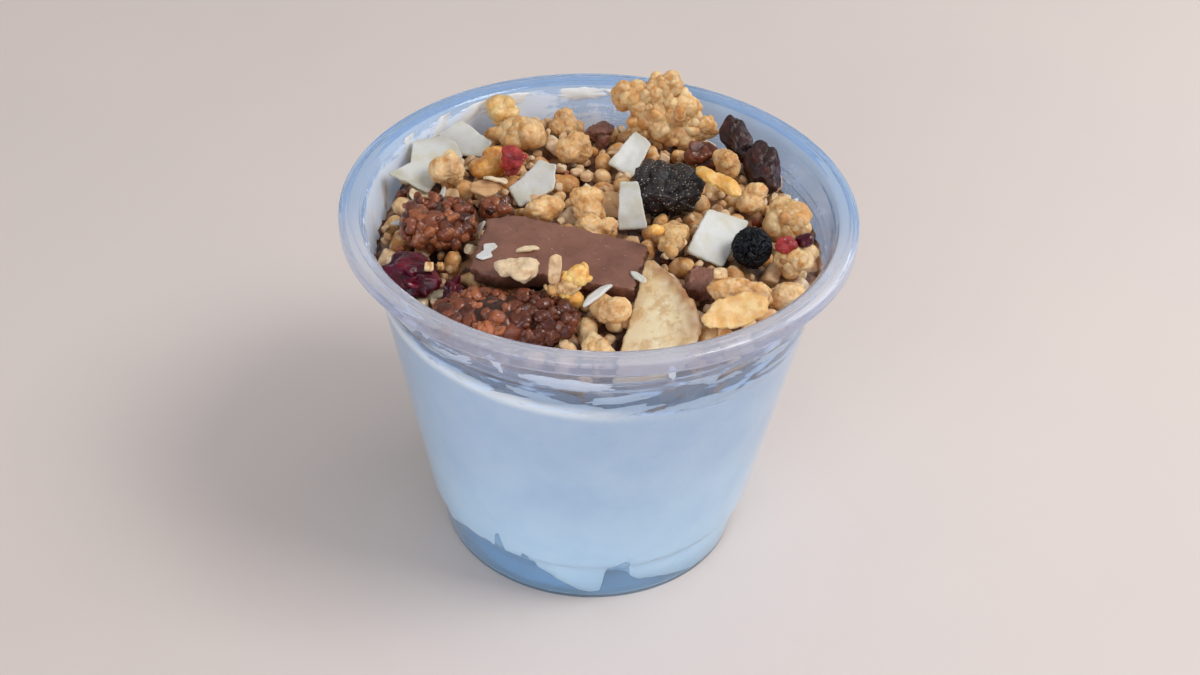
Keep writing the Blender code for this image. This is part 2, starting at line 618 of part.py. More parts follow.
def late_list():
    """Toppings that lie on others, as topping_list gives them."""
    big_flake = [(-9.6, -2.8), (-5.6, -5.2), (-2.7, -7.6), (1.0, -3.2), (6.2, 0.8), (6.0, 5.2), (3.7, 7.8),
                 (-2.0, 7.0), (-4.3, 0.2)]
    wide_flake = [(-5.2, -2.4), (0.5, -3.4), (5.2, -1.2), (4.6, 2.6), (-3.8, 3.0)]
    tall_flake = [(-2.6, -4.6), (3.0, -4.2), (2.2, 4.4), (-2.0, 4.8)]
    narrow_flake = [(-2.9, -4.4), (2.7, -4.6), (1.8, 4.2), (-1.6, 4.6)]
    long_flake = [(-5.6, -2.6), (2.2, -3.4), (5.8, 0.4), (4.0, 3.4), (-4.6, 2.2)]
    return [
        ("coconut_left", coconut_flake(big_flake, (0.8, -0.4), 41, 1), "coconut", (-32.0, 15.4), (8, 10, 20)),
        ("coconut_left_back", coconut_flake(wide_flake, (0.8, 0.3), 42), "coconut",
         (-26.4, 25.4), (30, -6, -36)),
        ("coconut_mid", coconut_flake(long_flake, (1.0, 0.4), 43), "coconut", (-12.4, 10.8), (24, 0, 42)),
        ("coconut_center", coconut_flake(narrow_flake, (1.2, 0.3), 44), "coconut", (5.6, 0.8), (62, 0, 8)),
        ("coconut_back", coconut_flake(tall_flake, (0.7, 0.2), 45), "coconut", (5.6, 20.6), (30, 10, -30)),
        ("mango_stick", mango_stick(), "mango", (21.7, 4.6), (0, 8, -42)),
        ("nut_lump_left", lump((6.8, 6.5, 6.2), 67, 2), "oat", (-28.8, 10.4), (0, 0, 0)),
        ("raspberry_bit", lump((5.2, 6.6, 4.6), 51, 2, 0.12), "raspberry", (-16.4, 13.8), (0, 0, 25)),
        ("corn_flake", chip(oval(11.6, 5.6, 10), 1.1, curl=(0.8, 0.3), ripple=0.3, seed=7), "corn",
         (23.8, -29.4), (40, -4, 18)),
        ("oat_flake_front", lump((7.6, 5.4, 4.2), 78, 2, 0.12), "oat", (-14.0, -24.2), (0, 0, -10)),
    ]


def lay_down(piece, place, turn, pile):
    """Turns the piece, brings it down at its place until it rests on the pile, and adds it there."""
    piece.rotation_mode = "ZYX"
    piece.rotation_euler = turned_by(turn)
    start = float(core_top(*place))
    piece.location = Vector((*place, start)) * MM
    points, faces = mesh_arrays(piece)
    piece.location.z += pile.settle(points, faces) * MM
    pile.add(*mesh_arrays(piece))


def smooth(piece):
    piece.data.shade_smooth()
    piece.data.set_sharp_from_angle(angle=math.radians(50))


def main():
    for thing in list(bpy.data.objects):
        bpy.data.objects.remove(thing)
    finishes = make_finishes()
    cup = make_cup(finishes["clear"])
    yogurt = make_yogurt(finishes["yogurt"])
    core = make_core()

    pile = Pile()
    for points, faces in (mesh_arrays(cup), core):
        pile.add(points, faces)
    pieces = [cup, yogurt]
    for name, shape, kind, place, turn in topping_list():
        pieces.append(solid(name, *shape, finishes[kind]))
        lay_down(pieces[-1], place, turn, pile)
    pieces.append(bunch("oat_cluster_back", BACK_LOBES, finishes["oat"], 80))
    lay_down(pieces[-1], (12.2, 31.4), (0, 0, 0), pile)
    for seed, (name, size, count, bit, kind, place, turn) in enumerate(lump_list(), 60):
        pieces.append(cluster(name, size, count, bit, finishes[kind], seed) if count
                      else solid(name, *lump(size, seed), finishes[kind]))
        lay_down(pieces[-1], place, turn, pile)
    for name, shape, kind, place, turn in late_list():
        pieces.append(solid(name, *shape, finishes[kind]))
        lay_down(pieces[-1], place, turn, pile)

    pieces.append(bunch("oat_flakes_front", BUNCH_LOBES, finishes["oat"], 90))
    lay_down(pieces[-1], (-4.6, -25.6), (0, 0, 0), pile)

    toppings = Pile()
    for piece in [cup] + pieces[2:]:
        toppings.add(*mesh_arrays(piece))
    pieces.append(make_heap(core, toppings, finishes["muesli"]))
    for piece in pieces:
        smooth(piece)


if __name__ == "__main__":
    main()
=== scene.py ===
"""The finish of a clear tumbler of yogurt with muesli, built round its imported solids.

Lengths are in millimetres until a mesh is made. +Z is up, and the shown side faces -Y.
"""

import functools
import math

import bpy
import numpy as np
from mathutils import Euler, Matrix, Vector


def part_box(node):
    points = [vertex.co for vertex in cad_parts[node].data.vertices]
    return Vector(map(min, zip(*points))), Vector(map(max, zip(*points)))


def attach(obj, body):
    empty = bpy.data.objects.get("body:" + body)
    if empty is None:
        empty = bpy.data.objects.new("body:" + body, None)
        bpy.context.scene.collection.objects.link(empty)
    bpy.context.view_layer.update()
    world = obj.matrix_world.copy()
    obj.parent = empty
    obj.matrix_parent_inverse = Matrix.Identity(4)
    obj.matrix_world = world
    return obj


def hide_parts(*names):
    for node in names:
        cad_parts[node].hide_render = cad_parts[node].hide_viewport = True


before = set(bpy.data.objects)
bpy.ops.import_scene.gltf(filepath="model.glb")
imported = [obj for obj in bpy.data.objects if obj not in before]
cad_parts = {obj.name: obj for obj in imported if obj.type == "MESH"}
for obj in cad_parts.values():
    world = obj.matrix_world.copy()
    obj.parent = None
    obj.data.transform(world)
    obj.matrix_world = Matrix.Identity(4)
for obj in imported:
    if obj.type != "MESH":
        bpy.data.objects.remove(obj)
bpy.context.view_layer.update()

MM = 0.001

# Camera, as the photograph was taken
PHOTO_WIDTH, PHOTO_HEIGHT = 1200, 675
FOCAL_PIXELS = 1800.0
CENTRE_PIXEL = (593.9, 357.8)
CAMERA_DISTANCE = 351.8
CAMERA_DOWN = math.radians(38.47)
CAMERA_ROLL = math.radians(2.13)

# Tumbler, in the sizes of its solid
RIM_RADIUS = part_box("cup")[1].x / MM
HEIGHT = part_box("cup")[1].z / MM
FOOT_RADIUS, FOOT_WIDTH, FOOT_RISE = 29.6, 2.7, 1.6
SHOULDER, SHOULDER_RADIUS = 11.0, 32.4
TAPER = 0.1818
NECK, NECK_STEP, NECK_RISE = 61.9, 0.7, 0.9      # the step out to the band under the lip
NECK_RADIUS = SHOULDER_RADIUS + (NECK - SHOULDER) * TAPER
BAND_RADIUS, BAND_TOP, BAND_LEAN = NECK_RADIUS + NECK_STEP, HEIGHT - 1.7, 1.1
RIDGES = (NECK + 2.6, NECK + 4.6)                # heights of the two fine rings in the band
WALL = 0.6
LIP_WIDTH, LIP_DROP = 4.1, 2.7
FLOOR = 2.3
IN_WALL = 0.12              # how far the contents reach into the wall
FILM_IN_WALL = 0.17         # and the film of yogurt, which lies over them

# Yogurt: where its top meets the wall and its lower edge on the wall, as (degrees from +X, height)
YOGURT_MIDDLE = 57.0
YOGURT_LINE = [(-137, 57.9), (-115, 57.0), (-91, 56.7), (-78, 55.8), (-62, 54.6), (-50, 54.3),
               (-20, 55.0), (20, 56.2), (60, 57.5), (100, 58.4), (150, 58.8), (190, 58.3)]
YOGURT_EDGE = [(-154, 5.4), (-141, 8.4), (-137, 10.4), (-130, 11.0), (-123.5, 11.4), (-122.5, 15.0),
               (-120.5, 15.4), (-119.5, 11.0), (-117, 10.2), (-113.5, 9.6), (-112.8, 12.4), (-110.5, 11.6),
               (-108, 8.0), (-104, 6.6), (-101, 5.2), (-97, 4.3), (-92, 2.6), (-88, 2.2), (-84.5, 2.6),
               (-83, 9.0), (-81.5, 10.8), (-76.5, 12.2), (-75, 11.4), (-73.5, 6.2), (-69, 4.6), (-60, 3.6),
               (-46, 1.6), (-30, 1.3)]
HIDDEN_POCKETS = 6
POCKET_HEIGHT = (3.0, 9.5)
# Film on the inner wall, as (degrees from +X, how dense, how high it reaches, how far its streaks run down)
FILM_STOPS = [(-180, 0.98, 72.0, 0.2), (-162, 0.88, 71.8, 0.2), (-150, 0.56, 68.0, 0.1),
              (-135, 0.38, 66.0, 0), (-112, 0.31, 66.5, 0), (-92, 0.27, 65.0, 0), (-70, 0.26, 65.5, 0),
              (-45, 0.32, 65.5, 0), (-22, 0.4, 68.5, 0.2), (5, 0.32, 70.5, 0.3), (35, 0.26, 70.5, 0.3),
              (70, 0.2, 70.8, 0.2), (90, 0.5, 72.0, 0.2), (112, 0.92, 72.2, 0.15), (150, 0.98, 72.2, 0.1)]
FILM_START, FILM_END = 55, 414.8     # the film's two ends, in degrees from +X
FILM_STANDS = 0.35                   # how far its free side stands out from the one on the wall

# Heap: the dome that its solid has, with swells and dents (x, y, radius, height)
HEAP_EDGE, HEAP_RISE, HEAP_RADIUS = 63.0, 4.5, 42.0
SWELLS = [(12, 31, 11, 1.2), (-18, 32, 9, 3.2), (8, -38, 9, -6.6), (-33, 15, 9, 4.2), (29, 24, 8, 2.8),
          (27, -12, 9, 1.4), (-26, 27, 7, 1.2), (-2, -36, 6, 1.5), (31, 4, 8, 0.8)]
CORE_SINKS = 0.5            # how far the core lies below the dome, which its loose pieces bring back

GOLDEN_ANGLE = math.pi * (3 - math.sqrt(5))
SEED = 11


# ---------------------------------------------------------------- noise

DIRECTION_COUNT = 256
CORNERS = [(x, y, z) for x in (0, 1) for y in (0, 1) for z in (0, 1)]
NEIGHBOURS = [(x, y, z) for x in (-1, 0, 1) for y in (-1, 0, 1) for z in (-1, 0, 1)]
LEANS = np.random.default_rng(SEED).normal(size=(DIRECTION_COUNT, 3))
LEANS /= np.linalg.norm(LEANS, axis=1)[:, None]


def cell_code(cell, seed):
    """A whole number from 0 to 255 for each cell of a unit lattice, mixed from its indices and the seed."""
    code = cell[..., 0] * 73856093 ^ cell[..., 1] * 19349663 ^ cell[..., 2] * 83492791 ^ seed * 2654435761
    code = (code ^ code >> 13) * 1274126177
    return (code ^ code >> 16) & (DIRECTION_COUNT - 1)


def noise(points, seed):
    """Gradient noise, from about -1 to 1.

    Each corner of the unit cell round a point has a lean. The point's offset from the corner is dotted with
    it, and the eight results are blended by the fifth-order smooth step of the offset."""
    cell = np.floor(points).astype(np.int64)
    offset = points - cell
    step = offset**3 * (offset * (offset * 6 - 15) + 10)
    total = np.zeros(points.shape[:-1])
    for corner in CORNERS:
        lean = LEANS[cell_code(cell + corner, seed)]
        share = np.prod(np.where(np.array(corner), step, 1 - step), axis=-1)
        total += share * ((offset - corner) * lean).sum(-1)
    return total * 1.5


def layered(points, seed, layers=3, fall=0.5):
    """Noise at doubling pitch, each layer weaker than the last by fall, added up."""
    return sum(fall**n * noise(points * 2**n, seed + 17 * n) for n in range(layers))


def grains(points, seed):
    """Distance from each point to the nearest of a lattice's scattered centres, one in each unit cell."""
    cell = np.floor(points).astype(np.int64)
    offset = points - cell
    near = np.full(points.shape[:-1], 9.0)
    for neighbour in NEIGHBOURS:
        centre = 0.5 + 0.45 * LEANS[cell_code(cell + neighbour, seed)]
        near = np.minimum(near, np.linalg.norm(neighbour + centre - offset, axis=-1))
    return near


# ---------------------------------------------------------------- skins

def turns(columns):
    """Angles at even steps once round."""
    return np.arange(columns) * 2 * np.pi / columns


def on_circle(turn):
    """Points (x, y, 0) of the unit circle."""
    return np.stack([np.cos(turn), np.sin(turn), 0 * turn], 1)


def reaches(points):
    """Each point's length, never nought, as a column."""
    return np.maximum(np.linalg.norm(points, axis=1), 1e-9)[:, None]


@functools.cache
def globe(rows, columns):
    """Unit directions: the low pole, then rows of latitude each once round, then the high pole."""
    polar = (np.arange(rows) + 1) * np.pi / (rows + 1)
    turn = turns(columns)
    grid = np.empty((rows, columns, 3))
    grid[..., 0] = np.sin(polar)[:, None] * np.cos(turn)
    grid[..., 1] = np.sin(polar)[:, None] * np.sin(turn)
    grid[..., 2] = -np.cos(polar)[:, None]
    return np.vstack([[(0, 0, -1)], grid.reshape(-1, 3), [(0, 0, 1)]])


@functools.cache
def skin_faces(rows, columns):
    """Quads between the rows of a skin, and triangles that close it at its lowest and its highest point."""
    at = 1 + np.arange(rows * columns).reshape(rows, columns)
    after = np.roll(at, -1, axis=1)
    quads = np.stack([at[:-1], after[:-1], after[1:], at[1:]], -1).reshape(-1, 4)
    low = np.stack([np.zeros(columns, int), after[0], at[0]], 1)
    high = np.stack([np.full(columns, rows * columns + 1), at[-1], after[-1]], 1)
    return quads, np.vstack([low, high])


class Skin:
    """One closed surface: points, its rows and columns, how hollow each point is, and a number of its own.

    The hollow mark is where most finishes paint shade.
    """

    def __init__(self, points, rows, columns, hollow=None, own=0.5):
        self.points = points
        self.rows, self.columns = rows, columns
        self.hollow = np.zeros(len(points)) if hollow is None else np.clip(hollow, 0, 1)
        self.own = own

    def moved(self, place=(0, 0, 0), turn=(0, 0, 0)):
        """A copy turned by degrees (x, y, z), about Z first and then about Y and X, and then moved."""
        matrix = np.array(Euler([math.radians(t) for t in turn], "ZYX").to_matrix())
        return Skin(self.points @ matrix.T + np.array(place), self.rows, self.columns, self.hollow, self.own)

    def box(self):
        return self.points.min(0), self.points.max(0)


def closed(low, grid, high):
    """A skin from a grid of points (rows, columns, 3) and the two points that close it."""
    return Skin(np.vstack([[low], grid.reshape(-1, 3), [high]]), *grid.shape[:2])


def skin_of_rows(radius, height):
    """A skin from grids of radius and height (rows, columns) turned about +Z, its ends closed on the axis."""
    turn = turns(radius.shape[1])
    grid = np.stack([radius * np.cos(turn), radius * np.sin(turn), height], -1)
    return closed((0, 0, height[0].mean()), grid[1:-1], (0, 0, height[-1].mean()))


def make_piece(name, skins, finish, *nodes, sharp=60):
    """One object from skins, in a finish, riding on the root body and standing for the named nodes."""
    material, slot = finish
    corners, starts, point_count, corner_count = [], [], 0, 0
    for skin in skins:
        for faces in skin_faces(skin.rows, skin.columns):
            starts.append(corner_count + np.arange(len(faces)) * faces.shape[1])
            corners.append((faces + point_count).ravel())
            corner_count += faces.size
        point_count += len(skin.points)
    points = np.concatenate([skin.points for skin in skins]) * MM
    mesh = bpy.data.meshes.new(name)
    mesh.vertices.add(point_count)
    mesh.vertices.foreach_set("co", points.astype(np.float32).ravel())
    mesh.loops.add(corner_count)
    mesh.loops.foreach_set("vertex_index", np.concatenate(corners).astype(np.int32))
    mesh.polygons.add(sum(len(s) for s in starts))
    mesh.polygons.foreach_set("loop_start", np.concatenate(starts).astype(np.int32))
    mesh.update(calc_edges=True)
    marks = {"own": [np.full(len(skin.points), skin.own) for skin in skins],
             "hollow": [skin.hollow for skin in skins]}
    for key, values in marks.items():
        layer = mesh.attributes.new(key, "FLOAT", "POINT")
        layer.data.foreach_set("value", np.concatenate(values).astype(np.float32))
    mesh.shade_smooth()
    mesh.set_sharp_from_angle(angle=math.radians(sharp))
    mesh.materials.append(material)
    made = bpy.data.objects.new(name, mesh)
    bpy.context.scene.collection.objects.link(made)
    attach(made, "root")
    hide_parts(*nodes)


# ---------------------------------------------------------------- tumbler, yogurt and heap as rules

def inner_radius(height):
    """Radius of the inner side of the wall at a height, from the outer side's corners, foot to lip."""
    heights = (0.0, 0.7, SHOULDER - 1.8, SHOULDER - 0.8, SHOULDER, NECK, NECK + NECK_RISE, BAND_TOP)
    radii = (FOOT_RADIUS, FOOT_RADIUS + 0.6, FOOT_RADIUS + 1.3, FOOT_RADIUS + 1.8, SHOULDER_RADIUS,
             NECK_RADIUS, BAND_RADIUS, BAND_RADIUS + BAND_LEAN)
    return np.interp(np.asarray(height) - 0.1, heights, radii) - WALL


def round_the_cup(stops, angle, value=1):
    """A value read at an angle in degrees from stops (angle, values...) that go once round."""
    return np.interp(angle, [stop[0] for stop in stops], [stop[value] for stop in stops], period=360)


def yogurt_top(x, y):
    """Height of the yogurt's top: the line on the wall, sinking or rising to the middle by the square."""
    angle = np.degrees(np.arctan2(y, x))
    share = np.clip(np.hypot(x, y) / inner_radius(YOGURT_MIDDLE), 0, 1) ** 2
    return YOGURT_MIDDLE + (round_the_cup(YOGURT_LINE, angle) - YOGURT_MIDDLE) * share


def pocket_edge():
    """Stops of the yogurt's lower edge: the shown ones, then hidden pockets drawn at even steps."""
    draw = np.random.default_rng(SEED)
    start, stop = YOGURT_EDGE[-1][0], YOGURT_EDGE[0][0] + 360
    step = (stop - start) / (HIDDEN_POCKETS + 1)
    hidden = []
    for number in range(1, HIDDEN_POCKETS + 1):
        middle, tall = start + number * step, draw.uniform(*POCKET_HEIGHT)
        hidden += [(middle - 0.3 * step, 1.6), (middle - 0.1 * step, tall),
                   (middle + 0.15 * step, 0.8 * tall)]
    return YOGURT_EDGE + hidden


def core_top(x, y):
    """Height of the heap's dome: a parabola with slow waves, swells and dents."""
    share = np.hypot(x, y) / HEAP_RADIUS
    height = HEAP_EDGE + HEAP_RISE * (1 - share**2)
    height = height + 0.5 * np.sin(0.21 * x + 0.09 * y + 1.0) * np.cos(0.17 * y - 0.11 * x)
    for swell_x, swell_y, radius, rise in SWELLS:
        height = height + rise * np.exp(-((x - swell_x) ** 2 + (y - swell_y) ** 2) / radius**2)
    return height


def corner_curve(start, corner, end, t):
    """A second-order curve, (1-t)^2 start + 2t(1-t) corner + t^2 end, at each t from 0 to 1."""
    t = t[:, None]
    return (1 - t) ** 2 * start + 2 * t * (1 - t) * corner + t**2 * end


def rounded(corners):
    """A path of (radius, height) from corners (radius, height, how far the rounding reaches).

    Each corner becomes a second-order curve that starts and ends on its two sides, as far from it as the
    rounding reaches and at most halfway along a side."""
    flat = np.array([c[:2] for c in corners], float)
    path = [flat[:1]]
    for before, corner, after, (_, _, reach) in zip(flat, flat[1:], flat[2:], corners[1:-1]):
        if reach == 0:
            path.append([corner])
            continue
        start = corner + (before - corner) * min(reach / np.linalg.norm(before - corner), 0.5)
        end = corner + (after - corner) * min(reach / np.linalg.norm(after - corner), 0.5)
        path.append(corner_curve(start, corner, end, np.linspace(0, 1, 5)))
    return np.vstack(path + [flat[-1:]])


def wall_side(out, lift):
    """Corners of one side of the tumbler's wall, foot to lip, moved by out in radius and lift in height."""
    def band_at(height):
        return BAND_RADIUS + (height - NECK - NECK_RISE) * (BAND_LEAN / (BAND_TOP - NECK - NECK_RISE))

    ridges = [(band_at(height) + stand + out, height + above + lift, 0.2)
              for height in RIDGES for above, stand in ((-0.35, 0), (0, 0.14), (0.35, 0))]
    return [
        (FOOT_RADIUS + 1.2 + out, SHOULDER - 2.6 + lift, 1.0),
        (FOOT_RADIUS + 1.7 + out, SHOULDER - 0.9 + lift, 0.5),
        (SHOULDER_RADIUS + out, SHOULDER + lift, 0.8),
        (SHOULDER_RADIUS + 20 * TAPER + out, SHOULDER + 20 + lift, 0),
        (NECK_RADIUS + out, NECK + lift, 0.5),
        (BAND_RADIUS + out, NECK + NECK_RISE + lift, 0.5),
        *ridges,
        (band_at(BAND_TOP) + out, BAND_TOP + lift, 0.3),
    ]


def cup_skin():
    """The tumbler: a profile, out along the underside, up the wall, over the lip and down inside, turned
    about +Z."""
    ring = FOOT_RADIUS - FOOT_WIDTH
    lip_start = RIM_RADIUS - LIP_WIDTH
    foot = [(0, FOOT_RISE, 0), (12, FOOT_RISE, 0), (ring - 1.3, FOOT_RISE, 0.6), (ring, 0, 0.5),
            (FOOT_RADIUS, 0, 0.6)]
    lip = [(lip_start + 0.7, HEIGHT - WALL, 0.3), (RIM_RADIUS - 1.0, HEIGHT - WALL, 0.5),
           (RIM_RADIUS - WALL, HEIGHT - 1.3, 0.3), (RIM_RADIUS - WALL, HEIGHT - LIP_DROP, 0.12),
           (RIM_RADIUS, HEIGHT - LIP_DROP, 0.12), (RIM_RADIUS, HEIGHT, 0.9),
           (RIM_RADIUS - 1.7, HEIGHT, 0.15), (RIM_RADIUS - 1.95, HEIGHT - 0.16, 0.12),
           (RIM_RADIUS - 2.2, HEIGHT, 0.15), (lip_start + 0.5, HEIGHT, 0.7)]
    inside = [(FOOT_RADIUS - WALL, 0.7, 0.5), (ring + 0.3, 0.7, 0.5), (ring - 1.0, FLOOR, 0.6),
              (12, FLOOR, 0), (0, FLOOR, 0)]
    path = rounded(foot + wall_side(0, 0) + lip + wall_side(-WALL, 0.1)[::-1] + inside)
    columns = np.ones(252)
    return skin_of_rows(path[:, :1] * columns, path[:, 1:] * columns)


def yogurt_skin():
    """The yogurt: rows of (radius, height), each once round, along its floor, up the wall and over its top.

    Its lower edge on the wall is the pocket edge with small jags, and below that edge it draws in from
    the wall."""
    columns = 420
    angle = np.arange(columns) * 360 / columns
    turn = np.radians(angle)
    round_it = on_circle(turn)
    edge = round_the_cup(pocket_edge(), angle)
    deep = np.clip((edge - 2.0) / 4, 0, 1)
    edge = edge + deep * (0.5 * layered(round_it * 14, 3, 2) + 0.25 * noise(round_it * 45, 5))
    edge = np.maximum(edge, 1.3)
    line = round_the_cup(YOGURT_LINE, angle) + 0.35 * noise(round_it * 7, 8) + 0.15 * noise(round_it * 30, 9)

    def on_wall(height):
        return inner_radius(height) + IN_WALL, height

    ones = np.ones(columns)
    climb = np.maximum(edge - FLOOR, 0)
    reach = on_wall(edge)[0]
    rows = [(radius * ones, (FLOOR - IN_WALL) * ones) for radius in (0, 12, 22.5)]
    rows += [(24.0 * ones, (FLOOR + 0.3) * ones), (25.6 * ones, FLOOR + 0.3 + 0.2 * climb),
             (reach - 2.2 - 0.4 * deep, FLOOR + 0.4 + 0.62 * climb),
             (reach - 1.1 - 0.3 * deep, edge - 0.9 * deep),
             (reach - 0.5, edge - 0.3 * deep), (reach - 0.12, edge - 0.06), on_wall(edge + 0.05)]
    for number, height in enumerate((8.0, 9.4, 10.1, 10.6, 11.0, 11.3, 12.2, 14.0)):
        rows.append(on_wall(np.maximum(height, edge + 0.1 * (number + 2))))
    foot_of_wall = rows[-1][1]
    for share in np.linspace(0, 1, 14)[1:]:
        rows.append(on_wall(foot_of_wall + (line - foot_of_wall) * share))
    for share in (0.985, 0.95, 0.8, 0.5, 0.0):
        radius = share * inner_radius(line)
        rows.append((radius, yogurt_top(radius * np.cos(turn), radius * np.sin(turn)) - 0.3 * (1 - share)))
    radius, height = np.moveaxis(np.array(rows), 1, 0)
    guard = np.interp(radius, [25.9, 27.2, 29.0], [FLOOR, 0.7, 0.7]) - IN_WALL
    return skin_of_rows(radius, np.maximum(height, guard))


def core_skin():
    """The heap's core: the dome and the band against the wall, with crumbs as relief.

    Relief = how near the point is to the centre of a grain, at two sizes of grain, plus slow noise. On
    the band the same relief draws the core in from the wall."""
    columns = 400
    turn = turns(columns)
    line = round_the_cup(YOGURT_LINE, np.degrees(turn))
    brim = np.minimum(NECK + 1.0, core_top(39.5 * np.cos(turn), 39.5 * np.sin(turn)))
    ones = np.ones(columns)
    rows = [(0 * ones, (YOGURT_MIDDLE - 1.5) * ones), (30 * ones, line - 1.5),
            (inner_radius(line) - 1.2, line - 1.2), (inner_radius(line) - 0.7, line - 0.5)]
    under_rows = len(rows)
    for share in np.linspace(0, 1, 30):
        height = line + 0.1 + (brim - line - 0.1) * share
        rows.append((inner_radius(height) + IN_WALL, height))
    side_rows = len(rows)
    brim_radius = inner_radius(brim)
    for radius in np.linspace(1, 0, 110) ** 0.9:
        out = (brim_radius - 0.5) * radius
        edge = np.clip((radius - 0.93) / 0.07, 0, 1)
        rows.append((out, core_top(out * np.cos(turn), out * np.sin(turn)) - CORE_SINKS - 1.2 * edge))
    radius, height = np.moveaxis(np.array(rows), 1, 0)
    place = np.stack([radius * np.cos(turn), radius * np.sin(turn), height], -1)
    relief = 0.9 * (0.55 - grains(place / 2.6, 31)) + 0.35 * (0.5 - grains(place / 1.1, 32))
    relief = relief + 0.5 * layered(place / 6, 33)
    on_side = np.zeros_like(radius)
    on_side[under_rows:side_rows] = np.clip(np.linspace(0, 9, side_rows - under_rows), 0, 1)[:, None]
    radius = radius - on_side * np.clip(0.35 - 0.9 * relief, 0, 0.9)
    height = height + relief * np.clip((height - NECK + 1.0) / 1.5, 0, 1) * (1 - on_side)
    skin = skin_of_rows(radius, height)
    # The hollow mark, where the finish paints shade: the recesses between crumbs, less on the band.
    hollow = np.clip(0.45 - 0.6 * relief, 0, 1) * (1 - 0.75 * on_side)
    skin.hollow = np.concatenate([[0.5], hollow[1:-1].ravel(), [0.5]])
    return skin


# ---------------------------------------------------------------- shapes of the pieces

def way_out(ways, centres, radii, blend):
    """How far a lump of balls reaches along each direction from its middle.

    The way out of one ball is d.c + sqrt((d.c)^2 - |c|^2 + r^2). The ways out of all balls are joined by a
    smooth largest: blend times the logarithm of the sum of exp(way out / blend)."""
    along = ways @ centres.T
    inside = along**2 - (centres**2).sum(1) + radii**2
    out = np.where(inside > 0, along + np.sqrt(np.maximum(inside, 0)), 0.05)
    return blend * np.log(np.exp(out / blend).sum(1))


def stretched(points, size):
    """The points moved and stretched so that their box has this size about the origin."""
    low, high = points.min(0), points.max(0)
    return (points - (low + high) / 2) * np.array(size) / (high - low)


def valleys(points, seed, width, sharp=1.5):
    """Lines where noise crosses nought: 1 - width * |noise|, never below nought, to the power sharp."""
    return np.clip(1 - width * np.abs(noise(points, seed)), 0, 1) ** sharp


def nugget(size, seed, rows, columns, lobes=3, crumb=0.16, swell=0.3, grain=0.75, blend=0.07, pits=0.3):
    """A baked nugget: a smooth largest of a few balls round a middle one, stretched to size.

    Slow swelling noise, packed crumbs whose height falls with distance from the grain's centre, and pits
    where noise is high make its relief."""
    draw = np.random.default_rng(seed)
    ways = globe(rows, columns)
    centres = draw.normal(size=(lobes, 3)) * np.array(size) / max(size)
    centres *= draw.uniform(0.36, 0.7, (lobes, 1)) / np.linalg.norm(centres, axis=1)[:, None]
    radii = draw.uniform(0.36, 0.6, lobes)
    radii = np.maximum(radii, np.linalg.norm(centres, axis=1) + 0.04)
    reach = way_out(ways, np.vstack([centres, [(0, 0, 0)]]), np.append(radii, 0.58), blend)
    points = stretched(ways * reach[:, None], np.array(size) - 0.4 * swell)
    relief = swell * layered(points / 2.2 + 5 * seed, seed, 3, 0.45)
    if crumb:
        relief = relief + crumb * (0.5 - grains(points / grain + 3 * seed, seed))
        relief = relief + 0.35 * crumb * noise(points / 0.35 + seed, seed + 1)
    if pits:
        relief = relief - pits * np.clip(noise(points / 0.9 + 9 * seed, seed + 3) - 0.4, 0, 1)
    points = points + ways * relief[:, None]
    # The hollow mark, where most finishes paint shade: the low points of the lump and the sunken ones of its
    # relief.
    lowness = np.clip((reach.mean() - reach) / reach.mean() * 1.6 + 0.15, 0, 1)
    hollow = 0.6 * lowness + 0.5 * np.clip(0.3 - relief / max(swell, 0.1), 0, 1)
    return Skin(points, rows, columns, hollow, draw.uniform())


def small_nugget(size, seed):
    """A nugget of a cluster."""
    return nugget(size, seed, rows=36, columns=50, crumb=0.2, swell=0.32)


def little_nugget(size, seed):
    """A loose nugget with few faces, a little longer or flatter than its size."""
    shape = size * np.random.default_rng(seed + 500).uniform(0.8, 1.2, 3)
    return nugget(shape, seed, rows=18, columns=24, lobes=2, crumb=0.0, swell=0.34, pits=0)


def cocoa_lump(size, seed):
    """A lump of a cocoa cluster, with sharper joints between its balls."""
    return nugget(size, seed, rows=20, columns=28, crumb=0.13, swell=0.34, grain=0.7, blend=0.05, pits=0.1)


def cocoa_bit(size, seed):
    """A loose cocoa lump, a little flat."""
    return cocoa_lump((size, size * 0.9, size * 0.8), seed)


def fruit_bit(size, seed):
    """A small torn piece of dried fruit."""
    return nugget((size, size * 0.85, size * 0.75), seed, rows=24, columns=34, lobes=2, crumb=0.1, pits=0)


def puff(size, seed):
    """A puffed grain: a ball with slow noise and a dimple or two."""
    rows, columns = 16, 22
    draw = np.random.default_rng(seed)
    ways = globe(rows, columns)
    swelling = layered(ways * 1.5 + 7 * seed, seed)
    points = ways * (1 + 0.16 * swelling)[:, None] * np.array(size) / 2
    return Skin(points, rows, columns, 0.4 - swelling, draw.uniform())


def block_form(ways, power):
    """Points of the superellipsoid |x|^p + |y|^p + |z|^p = 1: a ball at 2, nearer a cube as p grows."""
    return ways * ((np.abs(ways) ** power).sum(1) ** (-1 / power))[:, None]


def cut_cube(size, seed, rows=16, columns=24):
    """A cut cube: a superellipsoid of power 6, each axis sheared and tapered a little, with noise."""
    draw = np.random.default_rng(seed)
    points = block_form(globe(rows, columns), 6)
    taper = 1 + points[:, 2:] * draw.uniform(-0.22, 0.22)
    shear = draw.uniform(-0.25, 0.25, 2)
    points = points * np.hstack([taper, taper, np.ones_like(taper)]) * draw.uniform(0.75, 1.2, 3)
    points[:, :2] += points[:, 2:] * shear
    relief = layered(points * 1.6 + 3 * seed, seed)
    points = points * (1 + 0.08 * relief)[:, None] * size / 2
    # The hollow mark, where most finishes paint shade, is highest where its relief is lowest.
    return Skin(points, rows, columns, 0.3 - relief, draw.uniform())


def crumb_bit(size, seed):
    """A cut cube with few faces."""
    return cut_cube(size, seed, rows=7, columns=11)


